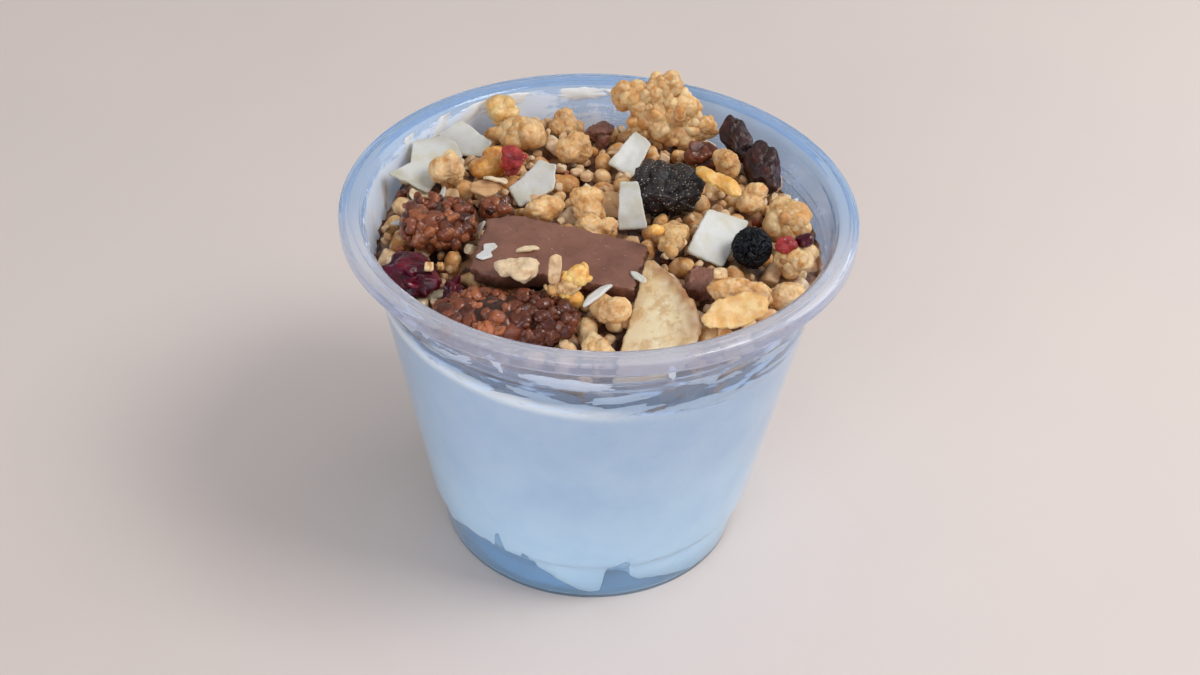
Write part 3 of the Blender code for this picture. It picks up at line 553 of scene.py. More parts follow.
def cocoa_shard(size, seed):
    """An angular cocoa crumb."""
    shard = cut_cube(1.0, seed, 10, 16)
    shard.points = stretched(shard.points, np.array(size) * np.random.default_rng(seed).uniform(0.7, 1.2, 3))
    return shard


def angular_chunk(size, seed, rows=120, columns=170):
    """An angular piece: a superellipsoid of power 2.8 cut by leaning planes, pitted all over.

    A cut keeps each point's reach along a plane's way below the plane. Below the top the body draws in. Its
    relief is grains of two sizes and valleys where noise crosses nought."""
    draw = np.random.default_rng(seed)
    points = block_form(globe(rows, columns), 2.8)
    for way in [(0.1, -0.1, 1.0)] + list(draw.normal(size=(9, 3))):
        way = np.array(way) / np.linalg.norm(way)
        over = np.maximum(points @ way - draw.uniform(0.62, 0.86), 0)
        points = points - over[:, None] * way * 0.9
    waist = 1 - 0.16 * np.clip(0.45 - points[:, 2:], 0, 0.7) / 0.7
    points = stretched(points * np.hstack([waist, waist, np.ones_like(waist)]), np.array(size) - 0.4)
    near, fine = grains(points / 1.05, seed), grains(points / 0.5, seed + 1)
    valley = valleys(points / 4.2, seed + 2, 3.0)
    relief = 0.3 * (0.5 - near) + 0.16 * (0.5 - fine) - 0.7 * valley + 0.45 * layered(points / 2.8, seed + 3)
    # The hollow mark, where its finish paints shade: its valleys and the gaps between grains.
    hollow = 0.7 * valley + 0.8 * (near - 0.45)
    return Skin(points + points / reaches(points) * relief[:, None], rows, columns, hollow, draw.uniform())


def wrinkled(size, seed, rows=84, columns=116, *, depth, pitch, along, folds, fine=0.05, sharp=1):
    """A dried fruit: an ellipsoid with slow folds and valleys.

    A valley lies where noise, drawn out by along in the long direction, crosses nought, and is as deep as
    depth. Finer valleys and grain go on top."""
    draw = np.random.default_rng(seed)
    ways = globe(rows, columns)
    fold = layered(ways * 1.3 + 7 * seed, seed, 2)
    points = ways * (1 + folds * fold)[:, None] * (np.array(size) - depth * 0.4) / 2
    squeeze = np.ones(3)
    squeeze[int(np.argmax(size))] = along
    at = points * squeeze / pitch
    at = at + 0.5 * np.stack([noise(at * 0.7, seed + k) for k in (1, 2, 3)], -1)
    valley = valleys(at, seed + 4, 3.0, sharp)
    small = valleys(at * 2.3, seed + 5, 3.2)
    relief = -depth * valley - fine * 2 * small + fine * layered(points / 0.5, seed + 6, 2)
    # The hollow mark, where its finish paints shade: its folds.
    hollow = 0.7 * valley + 2 * fine * small
    return Skin(points + ways * relief[:, None], rows, columns, hollow, draw.uniform())


def carried(outline, profile, bend):
    """A profile carried round an outline: point = middle + (outline - middle) * share, at a height.

    outline is (columns, 2) and profile is (rows, 2) of share and height. bend moves each point up by a
    function of its place."""
    middle = outline.mean(0)
    flat = middle + (outline - middle)[None] * profile[:, 0][:, None, None]
    height = profile[:, 1][:, None] + bend(flat)
    grid = np.concatenate([flat, height[..., None]], -1)
    return closed(grid[0].mean(0), grid[1:-1], grid[-1].mean(0))


def edge_profile(thickness, span, steps, inner):
    """Share and height from the middle of the low face, round the edge, to the middle of the high face.

    The edge is half an ellipse, half as wide as the thickness."""
    half = thickness / 2
    width = 0.5 * thickness / span
    low = np.stack([np.linspace(0, 1 - width, inner), np.full(inner, -half)], 1)
    turn = np.linspace(-np.pi / 2, np.pi / 2, 2 * steps + 1)[1:-1]
    edge = np.stack([1 - width + width * np.cos(turn), half * np.sin(turn)], 1)
    return np.vstack([low, edge, low[::-1] * (1, -1)])


def smooth_outline(corners, columns, rounding):
    """A polygon with its corners cut to second-order curves, as an even run of points.

    A curve starts and ends on its corner's two sides, at the share of their length that rounding gives."""
    corners = np.array(corners, float)
    path = []
    for before, corner, after in zip(np.roll(corners, 1, 0), corners, np.roll(corners, -1, 0)):
        start, end = corner + (before - corner) * rounding, corner + (after - corner) * rounding
        path.append(corner_curve(start, corner, end, np.linspace(0, 1, 9)))
    path = np.vstack(path + [path[0][:1]])
    run = np.append(0, np.cumsum(np.linalg.norm(np.diff(path, axis=0), axis=1)))
    at = np.linspace(0, run[-1], columns, endpoint=False)
    return np.stack([np.interp(at, run, path[:, k]) for k in (0, 1)], 1)


def on_floor(flat):
    """Points (x, y) as (x, y, 0)."""
    return np.concatenate([flat, 0 * flat[..., :1]], -1)


def ragged(outline, seed, amount, pitch):
    """The outline moved in and out by noise read along it."""
    across = outline - outline.mean(0)
    shift = amount * layered(on_floor(outline) / pitch, seed)
    return outline + across / np.linalg.norm(across, axis=1)[:, None] * shift[:, None]


def oval(length, width, columns):
    """An ellipse as a run of points."""
    turn = turns(columns)
    return np.stack([length / 2 * np.cos(turn), width / 2 * np.sin(turn)], 1)


def mean_reach(outline):
    """How far an outline's points lie from its middle, on average."""
    return np.linalg.norm(outline - outline.mean(0), axis=1).mean()


def leaf(outline, thickness, curl, seed, ripple, rough=0.0, pitch=1.0, inner=4, steps=2, own=0.5):
    """A thin bent flake with a round edge.

    It bends up by curl along X and Y times the square of the place, plus a ripple of noise. Where rough is
    given, noise of that pitch pushes its points out and in from its middle and marks its hollows."""
    middle = outline.mean(0)
    widest = np.abs(outline - middle).max()

    def bend(flat):
        unit = (flat - middle) / widest
        wave = ripple * layered(on_floor(unit) * 1.4 + seed, seed, 2)
        return curl[0] * unit[..., 0] ** 2 + curl[1] * unit[..., 1] ** 2 + wave

    skin = carried(outline, edge_profile(thickness, mean_reach(outline), steps, inner), bend)
    skin.own = own
    if rough:
        relief = layered(skin.points / pitch + seed, seed)
        low, high = skin.box()
        across = skin.points - (low + high) / 2
        skin.points = skin.points + across / reaches(across) * (rough * relief)[:, None]
        # The hollow mark, where most finishes paint shade: its sunken points.
        skin.hollow = np.clip(0.4 - relief, 0, 1)
    return skin


def oat_flake(size, seed):
    """A rolled oat: an oval leaf, cupped, with a crease along its middle and a ragged edge."""
    draw = np.random.default_rng(seed)
    outline = ragged(oval(size, size * draw.uniform(0.68, 0.85), 22), seed, 0.35, 1.5)
    thickness, curl = draw.uniform(0.5, 0.8), draw.uniform(-0.7, 1.1, 2)
    skin = leaf(outline, thickness, curl, seed, ripple=0.5, inner=5, own=draw.uniform())
    crease = np.exp(-(skin.points[:, 1] / 0.35) ** 2)
    skin.points[:, 2] -= 0.22 * crease * np.sign(skin.points[:, 2])
    # The hollow mark, where its finish paints shade: the crease.
    skin.hollow = np.clip(crease, 0, 1)
    return skin


def shred(size, seed):
    """A narrow curved flake."""
    draw = np.random.default_rng(seed)
    outline = oval(size, size * draw.uniform(0.2, 0.35), 18)
    return leaf(outline, 0.6, draw.uniform(-0.6, 0.9, 2), seed, ripple=0.3, own=draw.uniform())


def slab(corners, thickness, seed, columns=150, rounding=0.35, scuff=0.06):
    """A moulded or broken block: a profile with a low face, a side and a high face carried round an outline.

    The side and the outline are roughened by noise as a fracture is, and the faces only a little."""
    broken = 0.5
    outline = ragged(smooth_outline(corners, columns, 0.06), seed, broken, 2.2)
    span = mean_reach(outline)
    half = thickness / 2
    flat = np.linspace(0, 1 - rounding / span, 26)
    side = np.linspace(-half + rounding, half - rounding, 9)
    profile = np.vstack([np.stack([flat, np.full(26, -half)], 1), np.stack([np.ones(9), side], 1),
                         np.stack([flat[::-1], np.full(26, half)], 1)])
    skin = carried(outline, profile, lambda place: np.zeros(place.shape[:-1]))
    upright = np.clip(1 - np.abs(np.abs(skin.points[:, 2]) / half - 0.45) * 1.2, 0, 1)
    way = skin.points * (1, 1, 0)
    reach = np.linalg.norm(skin.points[:, :2] - outline.mean(0), axis=1) / span
    fracture = layered(skin.points / 1.7, seed)
    on_side = upright * (reach > 0.75)
    skin.points += way / reaches(way) * (broken * 1.3 * fracture * on_side)[:, None]
    skin.points[:, 2] += scuff * layered(skin.points / 1.1, seed + 1)
    skin.points[:, 2] += 0.12 * noise(skin.points / 5, seed + 2)
    skin.hollow = np.clip(0.5 * on_side - 0.6 * fracture * on_side, 0, 1)
    return skin


def node_box(node):
    """The lowest and highest corners of a node in millimetres."""
    low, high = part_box(node)
    return np.array(low) / MM, np.array(high) / MM


def fitted(skin, node, turn=(0, 0, 0)):
    """The skin turned, stretched to the node's box by a quarter at most, and moved to it."""
    low, high = node_box(node)
    turned = skin.moved(turn=turn)
    here, there = turned.box()
    scale = np.clip((high - low) / (there - here), 0.8, 1.25)
    turned.points = (turned.points - (here + there) / 2) * scale + (low + high) / 2
    return turned


def laid(skin, node, turn):
    """The skin turned as its node was and moved so that their boxes share a middle."""
    low, high = node_box(node)
    turned = skin.moved(turn=turn)
    here, there = turned.box()
    turned.points = turned.points + (low + high - here - there) / 2
    return turned


def spiral_way(number, count, turn=0):
    """The way to one of count places on a sunflower spiral round a ball, the whole turned by an angle."""
    height = 1 - 2 * (number + 0.5) / count
    across = math.sqrt(1 - height**2)
    around = number * GOLDEN_ANGLE + turn
    return np.array([across * math.cos(around), across * math.sin(around), height])


def clump(node, count, bit, seed, shape, core=0.72, block=2.0, spread=(0.75, 1.3)):
    """Bits all over a core that fills the node's box, on a sunflower spiral, with uneven sizes and depths.

    The spiral lies on a superellipsoid of power block."""
    draw = np.random.default_rng(seed)
    low, high = node_box(node)
    size, middle = high - low, (low + high) / 2
    skins = [puff(size * core, seed).moved(middle)]
    # The core is marked wholly hollow, so that its finish paints it as shade: the dark seen between the bits.
    skins[0].hollow[:] = 1.0
    for number in range(count):
        way = block_form(spiral_way(number, count)[None], block)[0]
        here = bit * draw.uniform(*spread)
        place = middle + way * np.maximum(size - here * draw.uniform(0.9, 1.25), 0.2) / 2
        piece = shape((here * draw.uniform(0.9, 1.3), here, here * draw.uniform(0.8, 1.1)), seed + number)
        piece = piece.moved(turn=draw.uniform(0, 360, 3))
        skins.append(piece.moved(np.clip(place, low - piece.points.min(0), high - piece.points.max(0))))
    return skins


def lobed(node, lobes, seed, bit=3.6, count=9):
    """A cluster whose large lobes stand where its solid has them, with small lumps set into each.

    Each lobe is (x, y, z, size), from the middle of them all. The small lumps lie on a spiral round their
    lobe, and the whole is stretched to the node's box."""
    draw = np.random.default_rng(seed)
    low, high = node_box(node)
    skins = []
    for number, (*place, size) in enumerate(lobes):
        size, place = np.ones(3) * size, np.array(place)
        lobe = nugget(size, seed + number, 50, 68, lobes=4, swell=0.4)
        skins.append(lobe.moved(place, draw.uniform(-40, 40, 3)))
        for small in range(count):
            here = bit * draw.uniform(0.45, 1.3)
            long, flat = here * draw.uniform(0.9, 1.5), here * draw.uniform(0.6, 0.95)
            lump = nugget((long, here, flat), seed + 20 * number + small, 16, 24, lobes=2, pits=0)
            way = spiral_way(small, count, number)
            skins.append(lump.moved(place + way * (size - 0.6 * here) / 2, draw.uniform(0, 360, 3)))
    points = np.vstack([skin.points for skin in skins])
    here, there = points.min(0), points.max(0)
    for skin in skins:
        skin.points = (skin.points - (here + there) / 2) * (high - low) / (there - here) + (low + high) / 2
    return skins


# ---------------------------------------------------------------- finishes

def tone(red, green, blue):
    """A linear colour from the 0 to 255 numbers that a picture shows."""
    shown = np.array([red, green, blue]) / 255
    return (*np.where(shown < 0.04045, shown / 12.92, ((shown + 0.055) / 1.055) ** 2.4), 1.0)


class Board:
    """Short ways to place and join nodes in one node tree."""

    def __init__(self, tree):
        self.tree = tree

    def feed(self, socket, value):
        if isinstance(value, bpy.types.NodeSocket):
            self.tree.links.new(value, socket)
        else:
            socket.default_value = value

    def place(self, kind, inputs=None, **settings):
        node = self.tree.nodes.new(kind)
        for key, value in settings.items():
            setattr(node, key, value)
        for key, value in (inputs or {}).items():
            self.feed(node.inputs[key], value)
        return node

    def math(self, operation, *values):
        return self.place("ShaderNodeMath", dict(enumerate(values)), operation=operation).outputs[0]

    def times(self, *values):
        return self.math("MULTIPLY", *values)

    def mix(self, share, low, high):
        return self.place("ShaderNodeMix", {0: share, 6: low, 7: high}, data_type="RGBA").outputs[2]

    def between(self, value, low, high, start=0.0, stop=1.0):
        inputs = {"Value": value, "From Min": low, "From Max": high, "To Min": start, "To Max": stop}
        return self.place("ShaderNodeMapRange", inputs, interpolation_type="SMOOTHSTEP").outputs["Result"]

    def vector(self, operation, inputs):
        return self.place("ShaderNodeVectorMath", inputs, operation=operation).outputs[0]

    def spots(self, pitch, offset=0.0):
        """Object coordinates in units of pitch millimetres."""
        here = self.place("ShaderNodeTexCoord").outputs["Object"]
        scaled = self.vector("SCALE", {0: here, "Scale": self.math("DIVIDE", 1 / MM, pitch)})
        return self.vector("ADD", {0: scaled, 1: (offset, offset * 0.7, -offset)})

    def cloud(self, here, detail, roughness=0.5, scale=1.0):
        inputs = {"Vector": here, "Scale": scale, "Detail": detail, "Roughness": roughness}
        return self.place("ShaderNodeTexNoise", inputs).outputs["Fac"]

    def mark(self, name):
        """A number that each point of the piece carries: own or hollow."""
        return self.place("ShaderNodeAttribute", attribute_name=name).outputs["Fac"]


def effect(name, inputs, *outputs):
    """An empty node group with named inputs and their defaults and with named outputs.

    It comes as its board and its two ends. Numbers make value sockets, and colours make colour sockets."""
    tree = bpy.data.node_groups.new(name, "ShaderNodeTree")
    for key, default in inputs.items():
        kind = "NodeSocketFloat" if isinstance(default, float) else "NodeSocketColor"
        tree.interface.new_socket(key, in_out="INPUT", socket_type=kind).default_value = default
    for key in outputs:
        kind = "NodeSocketColor" if key == "Color" else "NodeSocketFloat"
        tree.interface.new_socket(key, in_out="OUTPUT", socket_type=kind)
    board = Board(tree)
    return board, board.place("NodeGroupInput").outputs, board.place("NodeGroupOutput").inputs


def crumb_effect():
    """Packed crumbs: how high each point of a crumb stands, a number for each crumb, and finer grain."""
    board, given, out = effect("crumb", {"Pitch": 1.0}, "Height", "Own", "Grain")
    here = board.spots(given["Pitch"])
    cells = board.place("ShaderNodeTexVoronoi", {"Vector": here, "Scale": 1.0, "Smoothness": 0.35},
                        feature="SMOOTH_F1")
    fine = board.cloud(here, 3.0, 0.6, 3.1)
    height = board.math("SUBTRACT", 1.0, cells.outputs["Distance"])
    board.feed(out["Height"], board.math("ADD", height, board.times(fine, 0.5)))
    board.feed(out["Own"], board.place("ShaderNodeSeparateColor", {0: cells.outputs["Color"]}).outputs[0])
    board.feed(out["Grain"], fine)
    return board.tree


def patch_effect():
    """Soft uneven patches: noise of the given pitch, cut between two levels."""
    board, given, out = effect("patches", {"Pitch": 3.0, "Low": 0.4, "High": 0.6, "Offset": 0.0}, "Mask")
    offset = board.place("ShaderNodeCombineXYZ", {0: given["Offset"], 2: given["Offset"]}).outputs[0]
    here = board.vector("ADD", {0: board.spots(given["Pitch"]), 1: offset})
    board.feed(out["Mask"], board.between(board.cloud(here, 4.0, 0.6), given["Low"], given["High"]))
    return board.tree


def speck_effect():
    """Round specks: in a share of the cells of a lattice, a dot of the given size round the cell's centre."""
    board, given, out = effect("specks", {"Pitch": 1.0, "Share": 0.3, "Size": 0.3}, "Mask")
    cells = board.place("ShaderNodeTexVoronoi", {"Vector": board.spots(given["Pitch"], 5.0), "Scale": 1.0})
    picked = board.place("ShaderNodeSeparateColor", {0: cells.outputs["Color"]}).outputs[1]
    chosen = board.math("LESS_THAN", picked, given["Share"])
    dot = board.between(cells.outputs["Distance"], given["Size"], board.times(given["Size"], 0.5))
    board.feed(out["Mask"], board.times(chosen, dot))
    return board.tree


def own_tone_effect():
    """A colour for each piece: its own number picks between dark, middle and light."""
    tones = {"Dark": (0, 0, 0, 1), "Middle": (0.5, 0.5, 0.5, 1), "Light": (1, 1, 1, 1)}
    board, given, out = effect("own tone", tones, "Color")
    own = board.mark("own")
    low = board.mix(board.between(own, 0.0, 0.5), given["Dark"], given["Middle"])
    board.feed(out["Color"], board.mix(board.between(own, 0.5, 1.0), low, given["Light"]))
    return board.tree


def hollow_effect():
    """A colour darkened towards another where a piece's points are marked hollow.

    For most pieces this is painted shade in recesses, creases, folds and gaps; it also makes the banana's
    browned edge, the chocolate's darker broken sides and the coconut's greyer edges.
    """
    inputs = {"Color": (1, 1, 1, 1), "Deep": (0, 0, 0, 1), "Amount": 0.5}
    board, given, out = effect("hollows", inputs, "Color")
    share = board.times(board.mark("hollow"), given["Amount"])
    board.feed(out["Color"], board.mix(share, given["Color"], given["Deep"]))
    return board.tree


def glaze_effect():
    """Glossy and dry places: roughness and coat that follow soft patches."""
    inputs = {"Pitch": 2.0, "Dry": 0.8, "Wet": 0.3, "Share": 0.5}
    board, given, out = effect("glaze", inputs, "Roughness", "Coat")
    edge = board.math("SUBTRACT", 0.75, board.times(given["Share"], 0.5))
    mask = board.between(board.cloud(board.spots(given["Pitch"], 9.0), 3.0),
                         board.math("SUBTRACT", edge, 0.08), board.math("ADD", edge, 0.08))
    board.feed(out["Coat"], mask)
    wet = board.times(mask, board.math("SUBTRACT", given["Wet"], given["Dry"]))
    board.feed(out["Roughness"], board.math("ADD", given["Dry"], wet))
    return board.tree


EFFECTS = {tree.name: tree for tree in (crumb_effect(), patch_effect(), speck_effect(), own_tone_effect(),
                                        hollow_effect(), glaze_effect())}


class Finish(Board):
    """A material with one Principled shader, and short ways to the shared effects."""

    def __init__(self, name, **constants):
        self.material = bpy.data.materials.new(name)
        self.material.use_nodes = True
        super().__init__(self.material.node_tree)
        self.shader = self.tree.nodes["Principled BSDF"]
        self.wear(**constants)

    def wear(self, **sockets):
        """The material, with these sockets of its shader set or joined."""
        for key, value in sockets.items():
            self.feed(self.shader.inputs[key.replace("_", " ")], value)
        return self.material

    def use(self, name, **inputs):
        return self.place("ShaderNodeGroup", inputs, node_tree=EFFECTS[name]).outputs

    def own_tone(self, dark, middle, light):
        return self.use("own tone", Dark=dark, Middle=middle, Light=light)["Color"]

    def patches(self, pitch, low, high, share=None, offset=0.0):
        """Where soft patches lie, at most as strong as share."""
        mask = self.use("patches", Pitch=pitch, Low=low, High=high, Offset=offset)["Mask"]
        return self.times(mask, share) if share else mask

    # For most pieces, painted shade: the colour darkened towards deep where points are marked hollow.
    def hollows(self, color, deep, amount):
        return self.use("hollows", Color=color, Deep=deep, Amount=amount)["Color"]

    def glaze(self, pitch, dry, wet, share, coat):
        """Roughness from dry to wet and a coat over the wet places."""
        glaze = self.use("glaze", Pitch=pitch, Dry=dry, Wet=wet, Share=share)
        self.wear(Roughness=glaze["Roughness"], Coat_Weight=self.times(glaze["Coat"], coat))

    def bump(self, height, depth):
        """Relief of the given depth in millimetres."""
        bump = self.place("ShaderNodeBump", {"Height": height, "Distance": depth * MM, "Strength": 1.0})
        self.wear(Normal=bump.outputs[0])

    def gritty(self, crumb, share, depth):
        """Relief of a crumb's fine grain and a share of its height."""
        self.bump(self.math("ADD", crumb["Grain"], self.times(crumb["Height"], share)), depth)


def baked_oat():
    """Golden baked crumb: a tone for each lump, toasted patches, pale crumbs and orange-brown painted shade
    in its hollows, under a thin glaze."""
    make = Finish("baked_oat", Coat_Roughness=0.3, Subsurface_Weight=0.2, Subsurface_Radius=(1, 0.55, 0.25),
                  Subsurface_Scale=0.0014)
    crumb = make.use("crumb", Pitch=0.95)
    color = make.own_tone(tone(214, 152, 88), tone(236, 188, 126), tone(246, 213, 162))
    color = make.mix(make.patches(2.2, 0.46, 0.68, 0.8), color, tone(204, 136, 62))
    color = make.mix(make.times(make.between(crumb["Own"], 0.45, 0.8), 0.5), color, tone(248, 222, 178))
    # Painted shade, orange-brown, in the hollows.
    color = make.hollows(color, tone(160, 98, 44), 0.7)
    make.bump(crumb["Height"], 0.2)
    make.glaze(1.8, 0.7, 0.42, 0.35, 0.3)
    return make.wear(Base_Color=color)


def pale_oat():
    """Cut nuts and rolled oats: pale cream with tan husks, and darker tan painted shade in their hollows."""
    make = Finish("pale_oat", Roughness=0.68, Subsurface_Weight=0.2, Subsurface_Radius=(1, 0.6, 0.3),
                  Subsurface_Scale=0.0012)
    color = make.own_tone(tone(212, 168, 122), tone(230, 198, 158), tone(240, 220, 188))
    color = make.mix(make.patches(1.8, 0.52, 0.74, 0.7), color, tone(204, 154, 106))
    # Painted shade, darker tan, in the hollows and creases.
    color = make.hollows(color, tone(176, 124, 78), 0.5)
    make.gritty(make.use("crumb", Pitch=0.6), 0.4, 0.07)
    return make.wear(Base_Color=color)


def cocoa_puffs():
    """Glossy cocoa clusters: red-brown puffs with near black painted shade between them, under a wet glaze.
    """
    make = Finish("cocoa_cluster", Coat_Roughness=0.08, Specular_IOR_Level=0.2, Subsurface_Weight=0.08,
                  Subsurface_Scale=0.001)
    color = make.own_tone(tone(92, 42, 26), tone(138, 74, 48), tone(188, 112, 72))
    color = make.mix(make.patches(1.6, 0.5, 0.78), color, tone(88, 40, 28))
    # Painted shade, near black, between the puffs and in their hollows.
    color = make.hollows(color, tone(42, 20, 16), 0.9)
    make.bump(make.use("crumb", Pitch=0.7)["Height"], 0.12)
    make.glaze(1.2, 0.5, 0.28, 0.75, 0.6)
    return make.wear(Base_Color=color)


def chocolate():
    """Matt milk chocolate: mauve-brown clouds, pale scuffs and dust, dark pits and darker broken sides."""
    make = Finish("chocolate", Roughness=0.5, Coat_Roughness=0.4, Coat_Weight=0.12)
    color = make.mix(make.patches(6.0, 0.35, 0.7), tone(140, 94, 78), tone(122, 78, 63))
    color = make.mix(make.patches(1.1, 0.6, 0.78, 0.6), color, tone(174, 142, 132))
    color = make.mix(make.patches(1.7, 0.66, 0.74, 0.7, offset=6.0), color, tone(92, 60, 58))
    dust = make.times(make.use("specks", Pitch=1.3, Share=0.16, Size=0.16)["Mask"], 0.7)
    color = make.mix(dust, color, tone(188, 160, 148))
    color = make.hollows(color, tone(84, 52, 46), 0.85)
    make.bump(make.use("crumb", Pitch=0.9)["Grain"], 0.06)
    return make.wear(Base_Color=color)


def coconut():
    """Dried coconut: white with a waxy shine, faint grain, creamy patches and greyer thin edges."""
    make = Finish("coconut", Roughness=0.5, Coat_Weight=0.15, Coat_Roughness=0.3, Subsurface_Weight=0.5,
                  Subsurface_Radius=(1, 0.95, 0.8), Subsurface_Scale=0.0018)
    color = make.mix(make.patches(4.5, 0.42, 0.7), tone(214, 215, 213), tone(206, 202, 186))
    color = make.hollows(color, tone(166, 162, 142), 0.7)
    make.bump(make.use("crumb", Pitch=1.4)["Grain"], 0.06)
    return make.wear(Base_Color=color)


def banana():
    """Fried banana slice: cream with gritty grain, golden mottling, pale flecks and a browner round edge."""
    make = Finish("banana_chip", Roughness=0.6, Subsurface_Weight=0.2, Subsurface_Radius=(1, 0.7, 0.35),
                  Subsurface_Scale=0.0012)
    color = make.mix(make.patches(6.5, 0.38, 0.68), tone(240, 222, 184), tone(228, 192, 138))
    color = make.mix(make.patches(2.4, 0.48, 0.66, 0.7), color, tone(206, 164, 108))
    color = make.mix(make.patches(1.6, 0.54, 0.72, 0.7, offset=7.0), color, tone(248, 236, 210))
    color = make.hollows(color, tone(158, 102, 62), 0.9)
    make.gritty(make.use("crumb", Pitch=0.55), 0.4, 0.12)
    return make.wear(Base_Color=color)


def dried_fruit(name, skin, deep, patch, gloss, coat, sugar=0.0, grain=0.05, bloom=0.0, shine=0.5):
    """Wrinkled dried fruit: skin with patches of another tone and painted shade of a deep tone in its folds,
    under sugar and bloom.
    """
    make = Finish(name, Coat_Roughness=0.1, Subsurface_Weight=0.1, Subsurface_Radius=(1, 0.2, 0.1),
                  Subsurface_Scale=0.0012, Specular_IOR_Level=shine)
    color = make.mix(make.patches(2.6, 0.45, 0.75), skin, patch)
    if bloom:
        color = make.mix(make.patches(3.4, 0.4, 0.8, bloom, offset=4.0), color, tone(134, 112, 116))
    # Painted shade, in the deep tone, in the folds and pits.
    color = make.hollows(color, deep, 0.8)
    if sugar:
        dots = make.use("specks", Pitch=0.55, Share=sugar, Size=0.27)["Mask"]
        color = make.mix(dots, color, tone(186, 168, 156))
    make.bump(make.use("crumb", Pitch=0.5)["Height"], grain)
    make.glaze(1.6, gloss + 0.22, gloss, 0.7, coat)
    return make.wear(Base_Color=color)


def golden_fruit(name, low, high, deep):
    """Yellow fruit and corn: orange-yellow with paler patches, painted shade of a deeper tone in its hollows,
    and a light gloss.
    """
    make = Finish(name, Coat_Roughness=0.2, Subsurface_Weight=0.25, Subsurface_Radius=(1, 0.6, 0.2),
                  Subsurface_Scale=0.0012)
    # Patches, then painted shade in the deep tone in the hollows.
    color = make.hollows(make.mix(make.patches(2.2, 0.35, 0.65), low, high), deep, 0.55)
    make.gritty(make.use("crumb", Pitch=0.8), 0.5, 0.09)
    make.glaze(1.4, 0.58, 0.32, 0.6, 0.45)
    return make.wear(Base_Color=color)


def yogurt_white():
    """Thick yogurt: white with faint cool clouds and a soft wet shine."""
    make = Finish("yogurt", Roughness=0.35, Subsurface_Weight=0.25, Subsurface_Radius=(1, 0.95, 0.9),
                  Subsurface_Scale=0.002)
    color = make.mix(make.patches(9.0, 0.35, 0.7), tone(246, 246, 246), tone(236, 239, 243))
    make.bump(make.patches(3.0, 0.2, 0.8), 0.1)
    return make.wear(Base_Color=color)


def yogurt_film():
    """The film yogurt leaves on the wall: white streaks with gaps, as dense as the points are marked hollow.

    The streaks run down the wall where the piece's own number is one, and along it where that is nought. A
    faint glow stands for the light that comes through the film."""
    make = Finish("yogurt_film", Roughness=0.4, Emission_Color=tone(212, 226, 248), Emission_Strength=0.1)
    here = make.spots(1.0)
    along, down = (make.cloud(make.vector("MULTIPLY", {0: here, 1: stretch}), 4.0, 0.55)
                   for stretch in ((0.13, 0.13, 0.5), (0.6, 0.6, 0.09)))
    own, dense = make.mark("own"), make.mark("hollow")
    streak = make.math("ADD", make.times(down, own), make.times(along, make.math("SUBTRACT", 1.0, own)))
    edge = make.math("SUBTRACT", 0.72, make.times(dense, 0.48))
    cover = make.between(streak, make.math("SUBTRACT", edge, 0.07), make.math("ADD", edge, 0.1), 0.0, 0.9)
    faint = make.times(dense, 0.42)
    # The pale blue of the base is painted blue light from the surroundings; the yogurt itself is white.
    return make.wear(Base_Color=tone(226, 238, 255), Alpha=make.math("MAXIMUM", cover, faint))


def moist_core():
    """What shows between the pieces and behind the wall: soaked brown crumbs, some tan, some near black, with
    dark painted shade in the hollows between them.
    """
    make = Finish("muesli_core", Roughness=0.5, Coat_Weight=0.2, Coat_Roughness=0.3)
    crumb, large = make.use("crumb", Pitch=1.5), make.use("crumb", Pitch=3.6)
    color = make.mix(make.between(crumb["Own"], 0.25, 0.9), tone(112, 72, 54), tone(178, 131, 92))
    color = make.mix(make.between(large["Own"], 0.62, 0.8), color, tone(202, 156, 112))
    color = make.mix(make.between(large["Own"], 0.3, 0.16), color, tone(66, 42, 38))
    make.bump(crumb["Height"], 0.2)
    # Painted shade, dark brown, in the hollows between crumbs.
    return make.wear(Base_Color=make.hollows(color, tone(44, 26, 22), 0.8))


